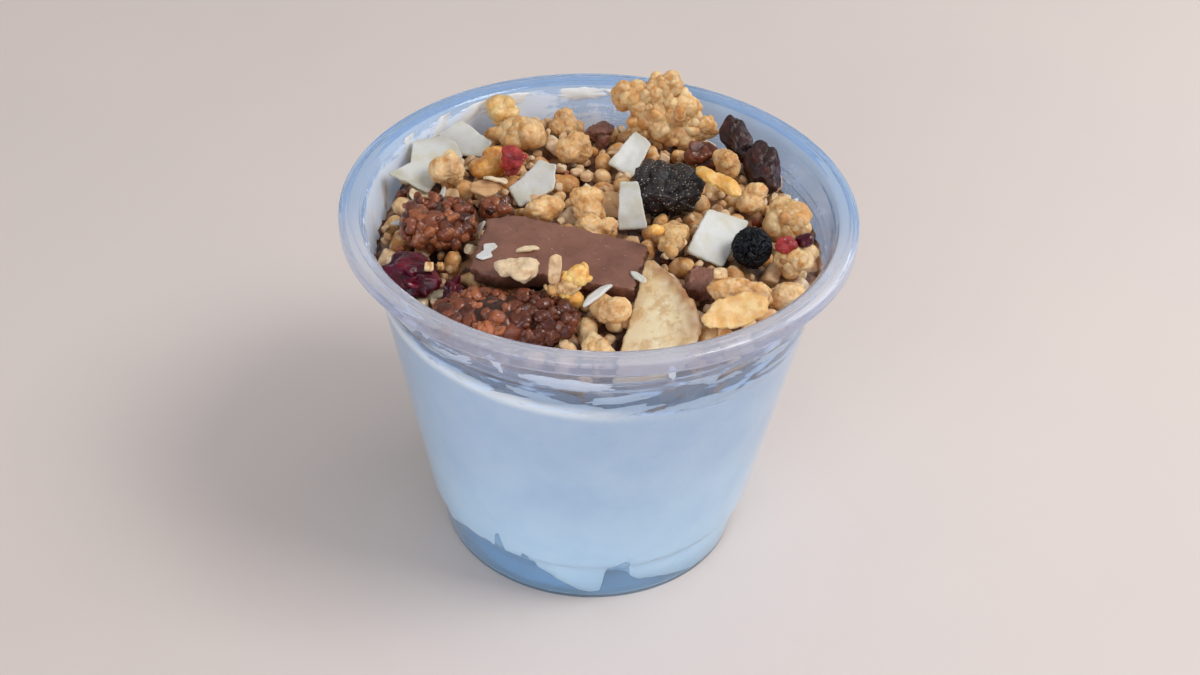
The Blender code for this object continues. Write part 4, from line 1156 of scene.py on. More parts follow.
def clear_plastic():
    """Clear plastic with haze, tinted pale blue as painted blue light from its surroundings: paler at its
    foot and its lip, which takes more painted blue light at the back.

    A painted highlight runs along the lip's top edge at the front. A painted highlight ring lies along the
    yogurt's edge on the wall: it lies where height + slope * x is near its level, and fades towards +X. Lamps
    shine through the plastic untinted."""
    level, slope = 56.0, 0.06
    make = Finish("clear_plastic", Transmission_Weight=0.82, Roughness=0.05, IOR=1.4)
    x, y, z = make.place("ShaderNodeSeparateXYZ", {0: make.spots(1.0)}).outputs
    # Painted blue light from round the cup tints the wall: paler towards the foot, darker from 34 mm up to
    # the yogurt's top.
    wall = make.mix(make.patches(14.0, 0.35, 0.7), tone(164, 190, 219), tone(174, 199, 226))
    wall = make.mix(make.between(z, 40.0, 6.0), wall, tone(182, 216, 243))
    wall = make.mix(make.between(z, 34.0, 56.0, 0.0, 0.7), wall, tone(158, 181, 210))
    # The lip: neutral at the front, and bluer with painted blue light at the back.
    lip = make.mix(make.between(y, -34.0, 6.0), tone(210, 214, 230), tone(192, 217, 246))
    color = make.mix(make.between(z, NECK - 4.0, HEIGHT - 4.0), wall, lip)
    # Painted highlight: a paler line along the lip's top edge at the front.
    edge = make.times(make.between(z, HEIGHT - 0.7, HEIGHT - 0.2), make.between(y, 0.0, -24.0))
    color = make.mix(edge, color, tone(244, 246, 252))
    # Painted highlight: a pale ring along the yogurt's edge on the wall, strongest towards -X.
    leaning = make.math("ADD", z, make.times(x, slope))
    ring = make.between(make.math("ABSOLUTE", make.math("SUBTRACT", leaning, level)), 2.3, 0.2)
    ring = make.times(ring, make.between(x, 20.0, -14.0, 0.1, 0.85))
    make.wear(Base_Color=make.mix(ring, color, tone(246, 249, 252)))
    make.bump(make.patches(8.0, 0.2, 0.8), 0.05)
    lamps = make.place("ShaderNodeBsdfTransparent", {"Color": (1, 1, 1, 1)})
    shadow = make.place("ShaderNodeLightPath").outputs["Is Shadow Ray"]
    both = make.place("ShaderNodeMixShader", {0: shadow, 1: make.shader.outputs[0], 2: lamps.outputs[0]})
    make.feed(make.tree.nodes["Material Output"].inputs["Surface"], both.outputs[0])
    return make.material


# Each finish: a material and a slot name
GOLDEN = baked_oat(), "baked_oat"
PALE = pale_oat(), "baked_oat"
COCOA = cocoa_puffs(), "cocoa_cluster"
CHOCOLATE = chocolate(), "chocolate"
COCONUT = coconut(), "coconut"
BANANA = banana(), "banana_chip"
YOGURT = yogurt_white(), "yogurt"
FILM = yogurt_film(), "yogurt"
CORE = moist_core(), "muesli"
CLEAR = clear_plastic(), "clear_plastic"
MANGO = golden_fruit("mango", tone(242, 176, 76), tone(252, 212, 134), tone(220, 144, 62)), "mango"
LUMP = golden_fruit("fruit_lump", tone(190, 112, 34), tone(244, 190, 104), tone(140, 78, 30)), "mango"
CORN = golden_fruit("corn_flake", tone(236, 184, 108), tone(246, 214, 156), tone(214, 148, 80)), "corn_flake"
CRANBERRY = dried_fruit("cranberry", tone(78, 2, 26), tone(16, 1, 10), tone(130, 8, 40), 0.2, 0.6,
                        shine=0.2), "cranberry"
RAISIN = dried_fruit("raisin", tone(48, 21, 21), tone(16, 6, 8), tone(88, 38, 32), 0.42, 0.2, bloom=0.05,
                     shine=0.35), "raisin"
DARK_FRUIT = dried_fruit("dark_fruit", tone(26, 17, 20), tone(7, 5, 6), tone(44, 30, 34), 0.4, 0.3, 0.6, 0.24,
                         shine=0.35), "dark_fruit"
BLUEBERRY = dried_fruit("blueberry", tone(5, 8, 18), tone(2, 3, 6), tone(11, 19, 38), 0.46, 0.12,
                        shine=0.25), "blueberry"
RASPBERRY = dried_fruit("raspberry", tone(166, 34, 38), tone(84, 10, 16), tone(204, 70, 62), 0.5, 0.2, 0.12,
                        grain=0.12), "raspberry"


# ---------------------------------------------------------------- toppings

NAMED = {}                  # each topping's skins by its node's name, for laying small pieces round them


def topping(node, skins, finish):
    """The piece that stands for a node."""
    NAMED[node] = skins
    make_piece(node + "_finish", skins, finish, node)


def chocolate_pieces():
    """The bar, its front side leaning out at the foot, and three chunks."""
    bar = [(-13.7, -8.2), (-9.0, -9.3), (-1.5, -6.6), (6.6, -6.8), (15.2, -6.4), (15.2, 5.4), (3.0, 6.8),
           (-9.5, 7.8), (-14.4, 5.6)]
    block = slab(bar, 4.9, 3, columns=320)
    front = np.clip(-block.points[:, 1] / 7, 0, 1)
    block.points[:, 1] -= 1.3 * front * (block.points[:, 2] / 2.45)
    topping("chocolate_bar", [laid(block, "chocolate_bar", (3, 0, -12))], CHOCOLATE)
    corners = [(-3.3, -2.7), (2.5, -3.2), (3.4, 1.9), (-0.7, 3.3), (-3.0, 2.2)]
    chunk = slab(corners, 4.4, 4, scuff=0.2, rounding=0.9)
    topping("chocolate_chunk_right", [laid(chunk, "chocolate_chunk_right", (6, -4, 0))], CHOCOLATE)
    for node, size, turn, seed, finish in (("chocolate_chunk_back", (6.5, 6, 5), (12, 8, 40), 5, COCOA),
                                           ("chocolate_chunk_far", (5.5, 5, 4.5), (0, 10, 70), 6, CHOCOLATE)):
        topping(node, [fitted(angular_chunk(size, seed, 60, 84), node, turn)], finish)


def banana_piece():
    """Part of a slice: a cut edge along X, a tip at -X and the slice's round edge, browner, towards +Y."""
    corners = [(-11.2, -6.3), (-2.0, -6.0), (6.0, -6.0), (12.6, -5.8), (12.2, -2.6), (10.4, 1.8), (7.4, 5.0),
               (3.4, 6.6), (-0.8, 7.0), (-4.2, 5.0), (-7.6, 1.2), (-10.6, -3.6)]
    outline = ragged(smooth_outline(corners, 240, 0.3), 5, 0.34, 1.4)
    skin = leaf(outline, 1.8, (0.8, 0.0), 5, ripple=0.3, rough=0.12, pitch=0.9, inner=38, steps=6)
    x, y = skin.points[:, 0], skin.points[:, 1]
    bow = np.interp(x, [-11.2, -7.6, -4.2, -0.8, 3.4, 7.4, 10.4, 12.6],
                    [-5.6, 1.0, 4.8, 6.6, 6.3, 4.7, 1.6, -4.5])
    burnt = np.clip(1 - (bow - y) / 5.0, 0, 1) * np.clip((6.0 - x) / 8, 0.12, 1)
    skin.hollow = np.clip(burnt * (0.9 + 0.8 * noise(skin.points / 1.6, 6)), 0, 1)
    topping("banana_chip", [laid(skin, "banana_chip", (29, -17, -105))], BANANA)


def coconut_pieces():
    """Broken flakes, each with the corners of its outline, its curl, seed and turn."""
    flakes = {
        "right": ([(-6.3, -5.6), (1.4, -6.2), (6.4, 5.2), (-2.2, 5.2)], (0.4, 0.3), 46, (25, 26, -3)),
        "left": ([(-9.6, -2.8), (-5.6, -5.2), (-2.7, -7.6), (1.0, -3.2), (6.2, 0.8), (6.0, 5.2), (3.7, 7.8),
                  (-2.0, 7.0), (-4.3, 0.2)], (0.8, -0.4), 41, (8, 10, 20)),
        "left_back": ([(-5.2, -2.4), (0.5, -3.4), (5.2, -1.2), (4.6, 2.6), (-3.8, 3.0)], (0.8, 0.3), 42,
                      (30, -6, -36)),
        "mid": ([(-5.6, -2.6), (2.2, -3.4), (5.8, 0.4), (4.0, 3.4), (-4.6, 2.2)], (1.0, 0.4), 43,
                (24, 0, 42)),
        "center": ([(-2.9, -4.4), (2.7, -4.6), (1.8, 4.2), (-1.6, 4.6)], (1.2, 0.3), 44, (62, 0, 8)),
        "back": ([(-2.6, -4.6), (3.0, -4.2), (2.2, 4.4), (-2.0, 4.8)], (0.7, 0.2), 45, (30, 10, -30)),
    }
    for place, (corners, curl, seed, turn) in flakes.items():
        node = "coconut_" + place
        outline = ragged(smooth_outline(corners, 130, 0.1), seed, 0.22, 2.6)
        skin = leaf(outline, 0.8, curl, seed, ripple=0.22, rough=0.03, pitch=1.4, inner=26, steps=5)
        out = np.linalg.norm(skin.points[:, :2] - outline.mean(0), axis=1) / mean_reach(outline)
        edge = np.clip((out - 0.8) * 3, 0, 1)
        skin.hollow = np.clip(0.25 * noise(skin.points / 2.0, seed) + 0.6 * edge, 0, 1)
        topping(node, [laid(skin, node, turn)], COCONUT)


def fruit_pieces():
    """The dried fruits and berries."""
    cranberry = wrinkled((11.0, 8.8, 7.0), 31, 130, 180, depth=1.0, pitch=4.6, along=0.8, folds=0.35)
    topping("cranberry_large", [fitted(cranberry, "cranberry_large", (0, 8, -24))], CRANBERRY)
    cranberry = wrinkled((4.2, 6.0, 5.2), 32, depth=0.7, pitch=3.2, along=0.8, folds=0.35)
    topping("cranberry_small", [fitted(cranberry, "cranberry_small")], CRANBERRY)
    dark = angular_chunk((13.4, 11.0, 9.0), 33)
    topping("dark_fruit", [fitted(dark, "dark_fruit", (0, 8, -15))], DARK_FRUIT)
    berry = wrinkled((7.8, 7.8, 7.4), 34, depth=0.5, pitch=1.05, along=1.0, folds=0.05, fine=0.09, sharp=1.5)
    topping("blueberry", [fitted(berry, "blueberry")], BLUEBERRY)
    for node, size, seed, turn in (("raisin_a", (6.2, 11.6, 6.0), 35, (38, 0, 20)),
                                   ("raisin_b", (6.6, 10.0, 6.0), 36, (30, 0, 20))):
        raisin = wrinkled(size, seed, depth=0.34, pitch=4.4, along=0.75, folds=0.32)
        topping(node, [fitted(raisin, node, turn)], RAISIN)
    red = angular_chunk((4.6, 7.0, 4.4), 51, 60, 84)
    topping("raspberry_bit", [fitted(red, "raspberry_bit", (0, 0, 25))], RASPBERRY)


# Lobes of the big cluster at the back and of the small bunch on the bar, as (x, y, z, size)
BACK_LOBES = [(0.2, 1.0, 1.6, 8.6), (3.2, 0.0, 0.2, 8.0), (-3.0, 0.0, -0.8, 7.0), (-4.6, 0.4, -3.6, 6.6),
              (-1.0, -1.6, -3.8, 8.0), (3.0, -1.0, -4.6, 8.2), (4.8, 0.2, -1.6, 6.6), (0.6, 0.5, 4.6, 6.0),
              (-2.4, 0.5, 3.8, 6.0), (-5.4, 0.0, 2.6, 6.2), (-8.4, 0.0, 2.6, 6.4),
              (8.0, 0.0, -3.8, (6.8, 5.0, 4.6))]
BUNCH_LOBES = [(-2.4, 0.2, 3.2, (2.4, 2.4, 5.0)), (1.9, 0.2, 2.0, (4.6, 3.8, 4.4)), (-0.2, 0.0, -0.2, 4.6),
               (-3.0, -0.4, -2.0, 3.6), (0.4, -0.6, -3.0, 4.6)]


def golden_pieces():
    """The baked lumps, of two or three lobes each, and the clusters, of many small nuggets each."""
    lumps = {"middle": (2, 75), "back": (3, 65), "far": (2, 66), "center_a": (3, 70), "center_b": (3, 71),
             "center_c": (3, 72), "right_back": (2, 73), "right": (2, 74), "front_a": (3, 76),
             "front_b": (2, 77), "front_middle": (2, 79), "left": (3, 67)}
    for place, (lobes, seed) in lumps.items():
        node = "nut_lump_" + place
        low, high = node_box(node)
        skin = fitted(nugget(high - low, seed, 66, 92, lobes, crumb=0.24, swell=0.4), node)
        skin.own = 0.36 + 0.55 * skin.own
        topping(node, [skin], GOLDEN)
    clusters = {"back_left": (10, 5.6), "right": (10, 5.4), "front": (6, 4.0), "middle": (7, 3.8),
                "front_right": (8, 4.6)}
    for place, (count, bit) in clusters.items():
        node = "oat_cluster_" + place
        topping(node, clump(node, count, bit, sum(map(ord, node)), small_nugget), GOLDEN)
    topping("oat_flake_back_left", clump("oat_flake_back_left", 7, 4.8, 41, small_nugget), CORN)
    topping("oat_cluster_back", lobed("oat_cluster_back", BACK_LOBES, 80), GOLDEN)


def front_flakes():
    """A small bunch in three finishes on the bar, and a folded flake in front of it.

    The bunch is an upright white flake, a yellow lump with a crumb, and tan lumps."""
    node = "oat_flakes_front"
    bunch = lobed(node, BUNCH_LOBES, 90, 2.0, 3)
    NAMED[node] = bunch
    each = len(bunch) // len(BUNCH_LOBES)
    upright = smooth_outline([(-1.2, -2.5), (1.0, -2.6), (1.3, 2.2), (0.2, 2.8), (-1.0, 2.3)], 60, 0.3)
    white = leaf(upright, 0.9, (0.5, 0.2), 91, ripple=0.3, rough=0.05, inner=14, steps=5)
    white = white.moved(bunch[0].points.mean(0), (74, 8, 0))
    make_piece("oat_flakes_front_white", [white], PALE, node)
    make_piece("oat_flakes_front_yellow", bunch[each:2 * each] + bunch[-each:], MANGO, node)
    make_piece("oat_flakes_front_tan", bunch[2 * each:-each], GOLDEN, node)
    folded = nugget((7.6, 5.6, 4.2), 86, 70, 96, lobes=5, crumb=0.1, grain=1.3, swell=0.6, blend=0.12,
                    pits=0.2)
    topping("oat_flake_front", [fitted(folded, "oat_flake_front", (0, 0, -10))], PALE)


def cocoa_pieces():
    """Clusters of cocoa lumps and shards. The front one is crumbly at its right: darker, with more shards."""
    left = clump("cocoa_cluster_left", 62, 3.3, 5, cocoa_lump, core=0.82, block=3.6, spread=(0.5, 1.5))
    left += clump("cocoa_cluster_left", 40, 1.5, 15, cocoa_shard, core=0.7, block=3.6, spread=(0.6, 1.4))
    topping("cocoa_cluster_left", left, COCOA)
    middle = clump("cocoa_bits_middle", 20, 2.8, 7, cocoa_lump, core=0.8, spread=(0.6, 1.4))
    topping("cocoa_bits_middle", middle, COCOA)
    front = clump("cocoa_cluster_front", 96, 3.5, 6, cocoa_lump, core=0.82, block=2.6, spread=(0.5, 1.5))
    shards = clump("cocoa_cluster_front", 220, 1.7, 16, cocoa_shard, core=0.7, block=2.6, spread=(0.5, 1.5))
    low, high = node_box("cocoa_cluster_front")
    kept = []
    for number, skin in enumerate(front + shards):
        crumbly = (skin.points[:, 0].mean() - low[0]) / (high[0] - low[0]) > 0.6
        skin.own *= 0.3 if crumbly else 1.0
        if crumbly or number < len(front) or number % 4 == 0:
            kept.append(skin)
    topping("cocoa_cluster_front", kept, COCOA)


def yellow_pieces():
    """The mango stick, bent down at its ends, the fruit lump and the corn flake."""
    stick = nugget((12.0, 5.4, 4.4), 21, 80, 110, lobes=4, grain=1.2, swell=0.45)
    stick.points[:, 2] -= 0.5 * (stick.points[:, 0] / 6) ** 2
    topping("mango_stick", [fitted(stick, "mango_stick", (0, 8, -42))], MANGO)
    lump = nugget((8.2, 6.2, 5.6), 64, 70, 90, crumb=0.06)
    topping("fruit_lump_left", [fitted(lump, "fruit_lump_left", (0, 0, 30))], LUMP)
    outline = ragged(oval(11.6, 5.6, 130), 7, 0.5, 1.8)
    flake = leaf(outline, 1.1, (0.8, 0.3), 7, ripple=0.6, rough=0.16, pitch=1.3, inner=24, steps=5)
    topping("corn_flake", [laid(flake, "corn_flake", (40, -4, 18))], CORN)


# ---------------------------------------------------------------- film and smears on the wall

def film_skin():
    """The film's surface: a strip bent round the cup and closed at its two ends.

    Each row is one angle. It runs round the strip's section, up on the free side, which stands out by the
    square root of the sine of the way round, and down on the side of the wall."""
    rows, columns = 400, 24
    angle = np.linspace(FILM_START, FILM_END, rows)[:, None]
    around = np.radians(angle)
    dense, top, down = (round_the_cup(FILM_STOPS, angle, k) for k in (1, 2, 3))
    low = round_the_cup(YOGURT_LINE, angle) - 0.5
    high = top + 0.7 * layered(on_circle(around[:, 0]) * 5, 40, 2)[:, None]
    turn = turns(columns)
    up = (1 - np.cos(turn)) / 2
    height = np.minimum(low + (high - low) * up, HEIGHT - 0.9)
    radius = inner_radius(height) + FILM_IN_WALL - FILM_STANDS * np.sqrt(np.clip(np.sin(turn), 0, 1))
    grid = np.stack([radius * np.cos(around), radius * np.sin(around), height], -1)
    skin = closed(grid[0].mean(0), grid, grid[-1].mean(0))
    marks = np.clip(dense * (1 - up**10) + 0.4 * np.clip(1 - 6 * up, 0, 1), 0, 1)
    skin.hollow = np.concatenate([[0], marks.ravel(), [0]])
    skin.own = np.concatenate([[1], (down + 0 * marks).ravel(), [1]])
    return skin


def smear(angle, height, length, width, lean, thick, seed):
    """A smear of yogurt on the inner wall: a ragged oval, thin at its edge, wrapped on the wall.

    The flat shape is (along the wall, up the wall, out of it), with along and up leaning by an angle. It
    becomes (angle - along / radius, height + up, inner radius - out). One face lies a little in the wall,
    and the other stands out by thick * (1 - share^2)^0.7, where share is how far from the middle it is."""
    columns, rows, in_wall = 64, 10, FILM_IN_WALL + 0.05
    swing = 1 + 0.42 * layered(on_circle(turns(columns)) * 1.6 + seed, seed, 4)
    c, s = math.cos(math.radians(lean)), math.sin(math.radians(lean))
    outline = oval(length, width, columns) * swing[:, None] @ np.array([[c, s], [-s, c]])
    share = np.linspace(0, 1, rows)
    low = np.stack([share, -in_wall * np.ones(rows)], 1)
    high = np.stack([share[::-1], thick * (1 - share[::-1] ** 2) ** 0.7 - in_wall + 0.05], 1)
    free_side = (np.arange(2 * rows) > rows)[:, None]

    def uneven(flat):
        return 0.25 * thick * noise(on_floor(flat) / 2.2 + seed, seed) * free_side

    skin = carried(outline, np.vstack([low, high]), uneven)
    along, up, out = skin.points.T
    z = np.minimum(height + up, HEIGHT - 0.8)
    radius = inner_radius(z) - np.maximum(out, -in_wall)
    around = math.radians(angle) - along / inner_radius(height)
    skin.points = np.stack([radius * np.cos(around), radius * np.sin(around), z], 1)
    return skin


def yogurt_smears():
    """Smears, each (angle, height, length, width, lean, thickness): placed ones, then a row at the yogurt."""
    smears = [
        (166, 66.0, 12, 5.0, 76, 0.4), (152, 68.0, 13, 4.4, 66, 0.4), (178, 66.0, 12, 4.0, 84, 0.4),
        (140, 68.8, 13, 4.0, 44, 0.4), (129, 69.8, 12, 3.6, 22, 0.4), (118, 70.6, 14, 3.0, 4, 0.5),
        (190, 66.5, 11, 3.0, 86, 0.35), (200, 67.5, 9, 2.0, 80, 0.3), (96, 70.5, 12, 2.6, 2, 0.45),
        (86, 70.9, 7, 1.8, -6, 0.4), (-96, 64.0, 15, 2.8, 4, 0.4), (-72, 66.5, 4.0, 1.3, 80, 0.4),
        (-113, 66.0, 4.0, 1.6, 60, 0.4), (-60, 61.5, 12, 2.2, 12, 0.4), (-128, 62.5, 13, 2.4, -14, 0.4),
        (-40, 60.0, 12, 2.0, 10, 0.4), (-84, 60.0, 11, 1.8, -6, 0.4), (-146, 62.0, 12, 3.0, -20, 0.4),
        (-20, 61.0, 12, 2.4, 8, 0.4), (-104, 59.4, 10, 1.6, 8, 0.4), (-138, 66.5, 9, 2.0, 30, 0.3),
    ]
    draw = np.random.default_rng(SEED + 5)
    for angle in range(-176, 180, 16):
        line = float(round_the_cup(YOGURT_LINE, angle))
        smears.append((angle + draw.uniform(-4, 4), line + draw.uniform(0.3, 1.4), draw.uniform(9, 17),
                       draw.uniform(1.0, 2.4), draw.uniform(-7, 7), 0.35))
    return [smear(*facts, seed) for seed, facts in enumerate(smears, 200)]


chocolate_pieces()
banana_piece()
coconut_pieces()
fruit_pieces()
golden_pieces()
front_flakes()
cocoa_pieces()
yellow_pieces()
make_piece("cup_clear", [cup_skin()], CLEAR, "cup", sharp=35)
make_piece("yogurt_body", [yogurt_skin()], YOGURT, "yogurt")
make_piece("muesli_core", [core_skin()], CORE, "muesli")
make_piece("yogurt_smears", yogurt_smears(), YOGURT, "yogurt")
make_piece("yogurt_film", [film_skin()], FILM, "yogurt")


# ---------------------------------------------------------------- small pieces of the heap

CELL = 0.5                  # side of a cell of the height maps
HALF_MAP = 43.0             # half a side of the maps
CELLS = int(2 * HALF_MAP / CELL)
HEAP_REACH = 39.6           # how far from the middle the small pieces are let down
TRIES = 4                   # places that each one tries
STANDS_PROUD = 3.0          # how far a small piece may rise over the dome
OFF_WALL = 0.15             # how far it stays from the wall
GAPS = [(-25.2, 5.0, 3.4), (-23.0, -13.6, 3.0)]    # dark gaps with no small pieces (x, y, radius)


def cells_of(points):
    """The row and column of the map cell under each point."""
    return tuple(np.clip(((points[:, k] + HALF_MAP) / CELL).astype(int), 0, CELLS - 1) for k in (0, 1))


def filled(points):
    """The points with those halfway between neighbours added, so that no cell under a skin is missed."""
    return np.vstack([points, (points[1:] + points[:-1]) / 2])


class HeightMap:
    """How high the heap reaches at each cell, and the lowest and highest points of the toppings over it."""

    def __init__(self):
        at = (np.arange(CELLS) + 0.5) * CELL - HALF_MAP
        self.dome = core_top(*np.meshgrid(at, at, indexing="ij"))
        self.high = self.dome - CORE_SINKS
        self.under = np.full((CELLS, CELLS), 99.0)
        self.over = np.full((CELLS, CELLS), -99.0)
        for skins in NAMED.values():
            for skin in skins:
                points = filled(skin.points)
                cells = cells_of(points)
                np.minimum.at(self.under, cells, points[:, 2])
                np.maximum.at(self.over, cells, points[:, 2])

    def drop(self, skin, x, y, sink, on_toppings=False):
        """The skin let down at a place until it meets the heap, as its lift, its cells and its heights.

        There is none where it would cross the wall, nor, unless it may lie on toppings, where it would
        cross a topping or rise too far over the dome."""
        points = filled(skin.points + (x, y, 0))
        cells = cells_of(points)
        ground = self.high[cells]
        if on_toppings:
            ground = np.maximum(ground, self.over[cells])
        lift = (ground - points[:, 2]).max() - sink
        height = points[:, 2] + lift
        crosses = (height > self.under[cells] + 0.3) & (height < self.over[cells] + 0.9)
        if not on_toppings and (crosses | (height > self.dome[cells] + STANDS_PROUD)).any():
            return None
        if (np.hypot(points[:, 0], points[:, 1]) > inner_radius(height) - OFF_WALL).any():
            return None
        return lift, cells, height

    def keep(self, cells, height):
        np.maximum.at(self.high, cells, height)


def scatter(heap):
    """Small pieces laid over the heap in rounds, the large kinds first, each at the lowest of a few places.

    A round is (kind, shape, how many shapes, their sizes, how many pieces are tried, how far they sink)."""
    draw = np.random.default_rng(SEED + 1)
    rounds = [
        ("golden", little_nugget, 36, (4.6, 7.0), 420, 1.6),
        ("cubes", cut_cube, 30, (3.4, 5.0), 320, 1.2),
        ("flakes", oat_flake, 30, (5.0, 7.0), 90, 0.6),
        ("golden", little_nugget, 36, (3.2, 4.8), 420, 1.1),
        ("cocoa", cocoa_bit, 24, (2.0, 3.6), 60, 0.8),
        ("cubes", cut_cube, 30, (2.4, 3.6), 420, 0.8),
        ("shreds", shred, 24, (4.5, 7.5), 16, 0.2),
        ("crumbs", crumb_bit, 24, (1.0, 2.0), 420, 0.35),
    ]
    laid_down = {}
    for kind, shape, count, sizes, wanted, sink in rounds:
        shapes = [shape(draw.uniform(*sizes), seed) for seed in range(count)]
        flat = kind in ("flakes", "shreds")
        for _ in range(wanted):
            model = shapes[draw.integers(count)]
            lean = draw.uniform(-35, 35, 2) if flat else draw.uniform(0, 360, 2)
            skin = model.moved(turn=(*lean, draw.uniform(0, 360)))
            best = None
            for _ in range(TRIES):
                radius, turn = HEAP_REACH * math.sqrt(draw.uniform()), draw.uniform(0, 2 * math.pi)
                x, y = radius * math.cos(turn), radius * math.sin(turn)
                if any(math.hypot(x - gap_x, y - gap_y) < reach for gap_x, gap_y, reach in GAPS):
                    continue
                found = heap.drop(skin, x, y, sink)
                if found and (best is None or found[0] < best[0][0]):
                    best = found, x, y
            if best:
                (lift, cells, height), x, y = best
                heap.keep(cells, height)
                skin.points = skin.points + (x, y, lift)
                skin.own = draw.uniform()
                laid_down.setdefault(kind, []).append(skin)
    return laid_down


def extras(heap):
    """Single small pieces that the photograph shows lying on the toppings.

    Each bit is (kind, shape, size, seed, x, y, turn, how far it sinks)."""
    bits = [
        ("coconut_shreds", shred, 7.4, 3, 0.2, -27.0, (0, -12, 47), 0.3),
        ("coconut_shreds", shred, 4.2, 4, 7.2, -22.2, (0, 0, -50), 0.2),
        ("coconut_shreds", shred, 5.0, 8, 36.2, 10.0, (0, 20, 60), 0.2),
        ("oat_flakes", shred, 4.4, 9, -12.4, -15.6, (0, 0, 15), 0.2),
        ("oat_flakes", oat_flake, 5.4, 5, -21.6, 6.6, (10, 0, 0), 0.4),
        ("oat_flakes", oat_flake, 5.0, 6, -19.6, 8.4, (-30, 10, 0), 0.4),
        ("red_bits", fruit_bit, 4.2, 22, 33.2, -12.9, (40, 20, 0), 1.0),
        ("dark_red_bits", fruit_bit, 3.4, 23, 36.6, -11.8, (70, 0, 10), 1.0),
        ("red_bits", fruit_bit, 2.4, 24, 11.6, 17.0, (20, 0, 0), 0.4),
        ("yellow_bits", fruit_bit, 3.0, 30, 10.2, -13.4, (10, 0, 0), 0.8),
        ("crumbs", cut_cube, 2.4, 25, 21.2, -22.6, (50, 0, 0), 0.5),
        ("crumbs", cut_cube, 1.9, 28, -29.4, -20.4, (50, 0, 0), 0.6),
        ("crumbs", cut_cube, 1.5, 29, -27.8, -16.4, (10, 0, 0), 0.5),
    ]
    found = {}
    for kind, shape, size, seed, x, y, turn, sink in bits:
        skin = shape(size, seed).moved(turn=turn)
        rest = heap.drop(skin, x, y, sink, on_toppings=True)
        if rest:
            lift, cells, height = rest
            skin.points = skin.points + (x, y, lift)
            heap.keep(cells, height)
            found.setdefault(kind, []).append(skin)
    return found


def flake_on_the_bar(heap):
    """A flake of coconut, narrow at its waist, that lies on the bar."""
    corners = [(-1.3, -2.4), (0.2, -2.6), (1.5, -1.0), (0.5, 0.2), (1.2, 1.9), (0.2, 2.6), (-1.4, 1.4),
               (-0.6, -0.2)]
    skin = leaf(smooth_outline(corners, 60, 0.2), 0.5, (0.1, 0.1), 61, ripple=0.1, inner=14, steps=5)
    skin = skin.moved(turn=(3, 0, -20))
    x, y = -19.4, -16.6
    return skin.moved((x, y, heap.drop(skin, x, y, 0.1, on_toppings=True)[0]))


def small_pieces():
    """The scattered pieces of the heap and the ones on the toppings, as one piece for each kind."""
    heap = HeightMap()
    scattered = scatter(heap)
    finishes = {"coconut_shreds": COCONUT, "oat_flakes": PALE, "red_bits": RASPBERRY,
                "dark_red_bits": CRANBERRY, "yellow_bits": MANGO, "crumbs": GOLDEN}
    for kind, skins in extras(heap).items():
        make_piece("loose_" + kind, skins, finishes[kind], "muesli")
    make_piece("coconut_on_bar", [flake_on_the_bar(heap)], COCONUT, "muesli")
    finishes = {"golden": GOLDEN, "cubes": PALE, "flakes": PALE, "cocoa": COCOA, "shreds": COCONUT,
                "crumbs": PALE}
    for kind, skins in scattered.items():
        make_piece("muesli_" + kind, skins, finishes[kind], "muesli")


small_pieces()


# ---------------------------------------------------------------- floor, light and camera

def floor():
    """A wide plain sheet with a matt, slightly mottled, pale pinkish finish."""
    mesh = bpy.data.meshes.new("floor")
    side = 3.0
    mesh.from_pydata([(-side, -side, 0), (side, -side, 0), (side, side, 0), (-side, side, 0)], [],
                     [(0, 1, 2, 3)])
    make = Finish("floor_matt", Roughness=0.85)
    color = make.mix(make.patches(160.0, 0.3, 0.7), tone(226, 213, 207), tone(222, 210, 206))
    mesh.materials.append(make.wear(Base_Color=color))
    sheet = bpy.data.objects.new("floor", mesh)
    bpy.context.scene.collection.objects.link(sheet)


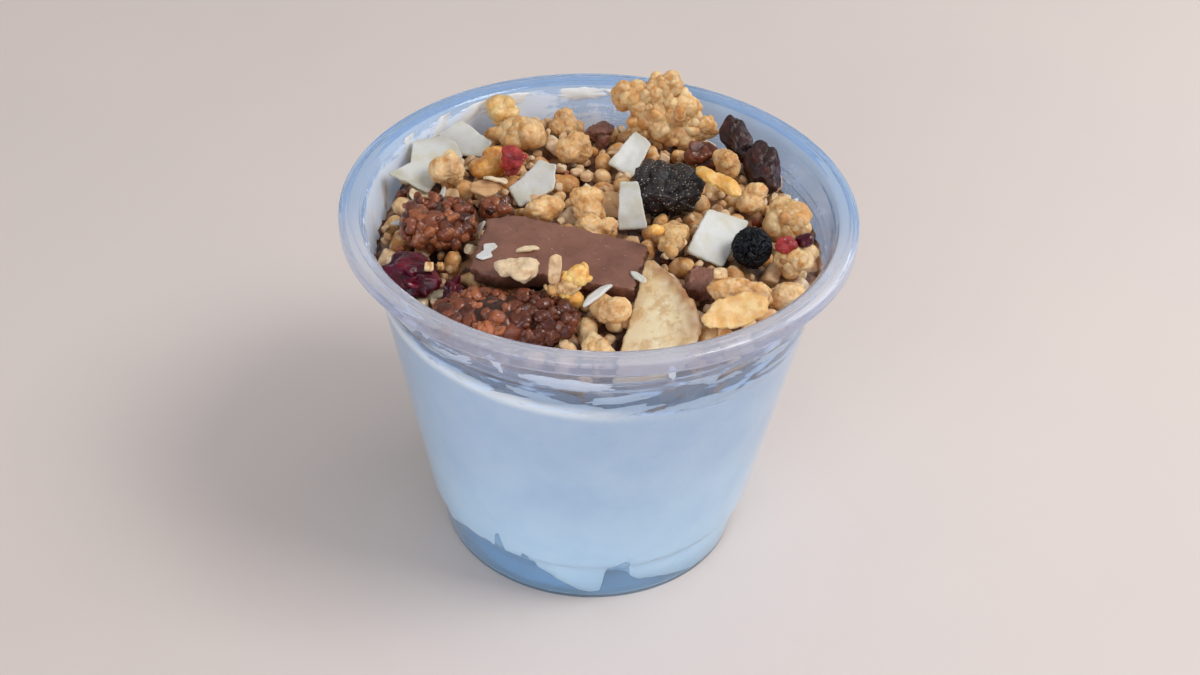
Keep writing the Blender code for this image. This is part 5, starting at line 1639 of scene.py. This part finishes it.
def lamp(name, place, target, size, power, color):
    """A square soft lamp aimed at a target, in metres and watts."""
    data = bpy.data.lights.new(name, "AREA")
    data.size, data.energy, data.color = size, power, color
    lit = bpy.data.objects.new(name, data)
    lit.location = place
    lit.rotation_euler = (Vector(target) - Vector(place)).to_track_quat("-Z", "Y").to_euler()
    bpy.context.scene.collection.objects.link(lit)


def light():
    """A pale even studio with a warm key lamp, and cool ones at the window's side and in front."""
    world = bpy.data.worlds.new("studio")
    bpy.context.scene.world = world
    world.use_nodes = True
    studio = world.node_tree.nodes["Background"].inputs
    studio["Color"].default_value = (0.98, 0.97, 0.96, 1)
    studio["Strength"].default_value = 0.445
    lamp("key", (0.52, -0.14, 0.75), (0, 0, 0.04), 0.35, 3.6, (1.0, 0.98, 0.95))
    lamp("window", (0.6, 0.2, 0.32), (0, 0, 0.05), 0.5, 1.3, (0.88, 0.94, 1.0))
    lamp("fill", (-0.3, -0.82, 0.3), (0, 0, 0.03), 0.6, 3.3, (0.9, 0.95, 1.0))
    bpy.context.scene.view_settings.view_transform = "Standard"


def camera():
    """The camera of the photograph: aimed at the tumbler's middle from the front and above, and rolled."""
    target = Vector((0, 0, HEIGHT * MM / 2))
    ahead = Vector((0, math.cos(CAMERA_DOWN), -math.sin(CAMERA_DOWN)))
    data = bpy.data.cameras.new("camera")
    data.sensor_width = 36
    data.lens = FOCAL_PIXELS / PHOTO_WIDTH * data.sensor_width
    data.shift_x = (PHOTO_WIDTH / 2 - CENTRE_PIXEL[0]) / PHOTO_WIDTH
    data.shift_y = (CENTRE_PIXEL[1] - PHOTO_HEIGHT / 2) / PHOTO_WIDTH
    data.clip_start = 0.01
    eye = bpy.data.objects.new("camera", data)
    turn = ahead.to_track_quat("-Z", "Y").to_matrix().to_4x4() @ Matrix.Rotation(CAMERA_ROLL, 4, "Z")
    eye.matrix_world = Matrix.Translation(target - ahead * CAMERA_DISTANCE * MM) @ turn
    bpy.context.scene.collection.objects.link(eye)
    bpy.context.scene.camera = eye


floor()
light()
camera()
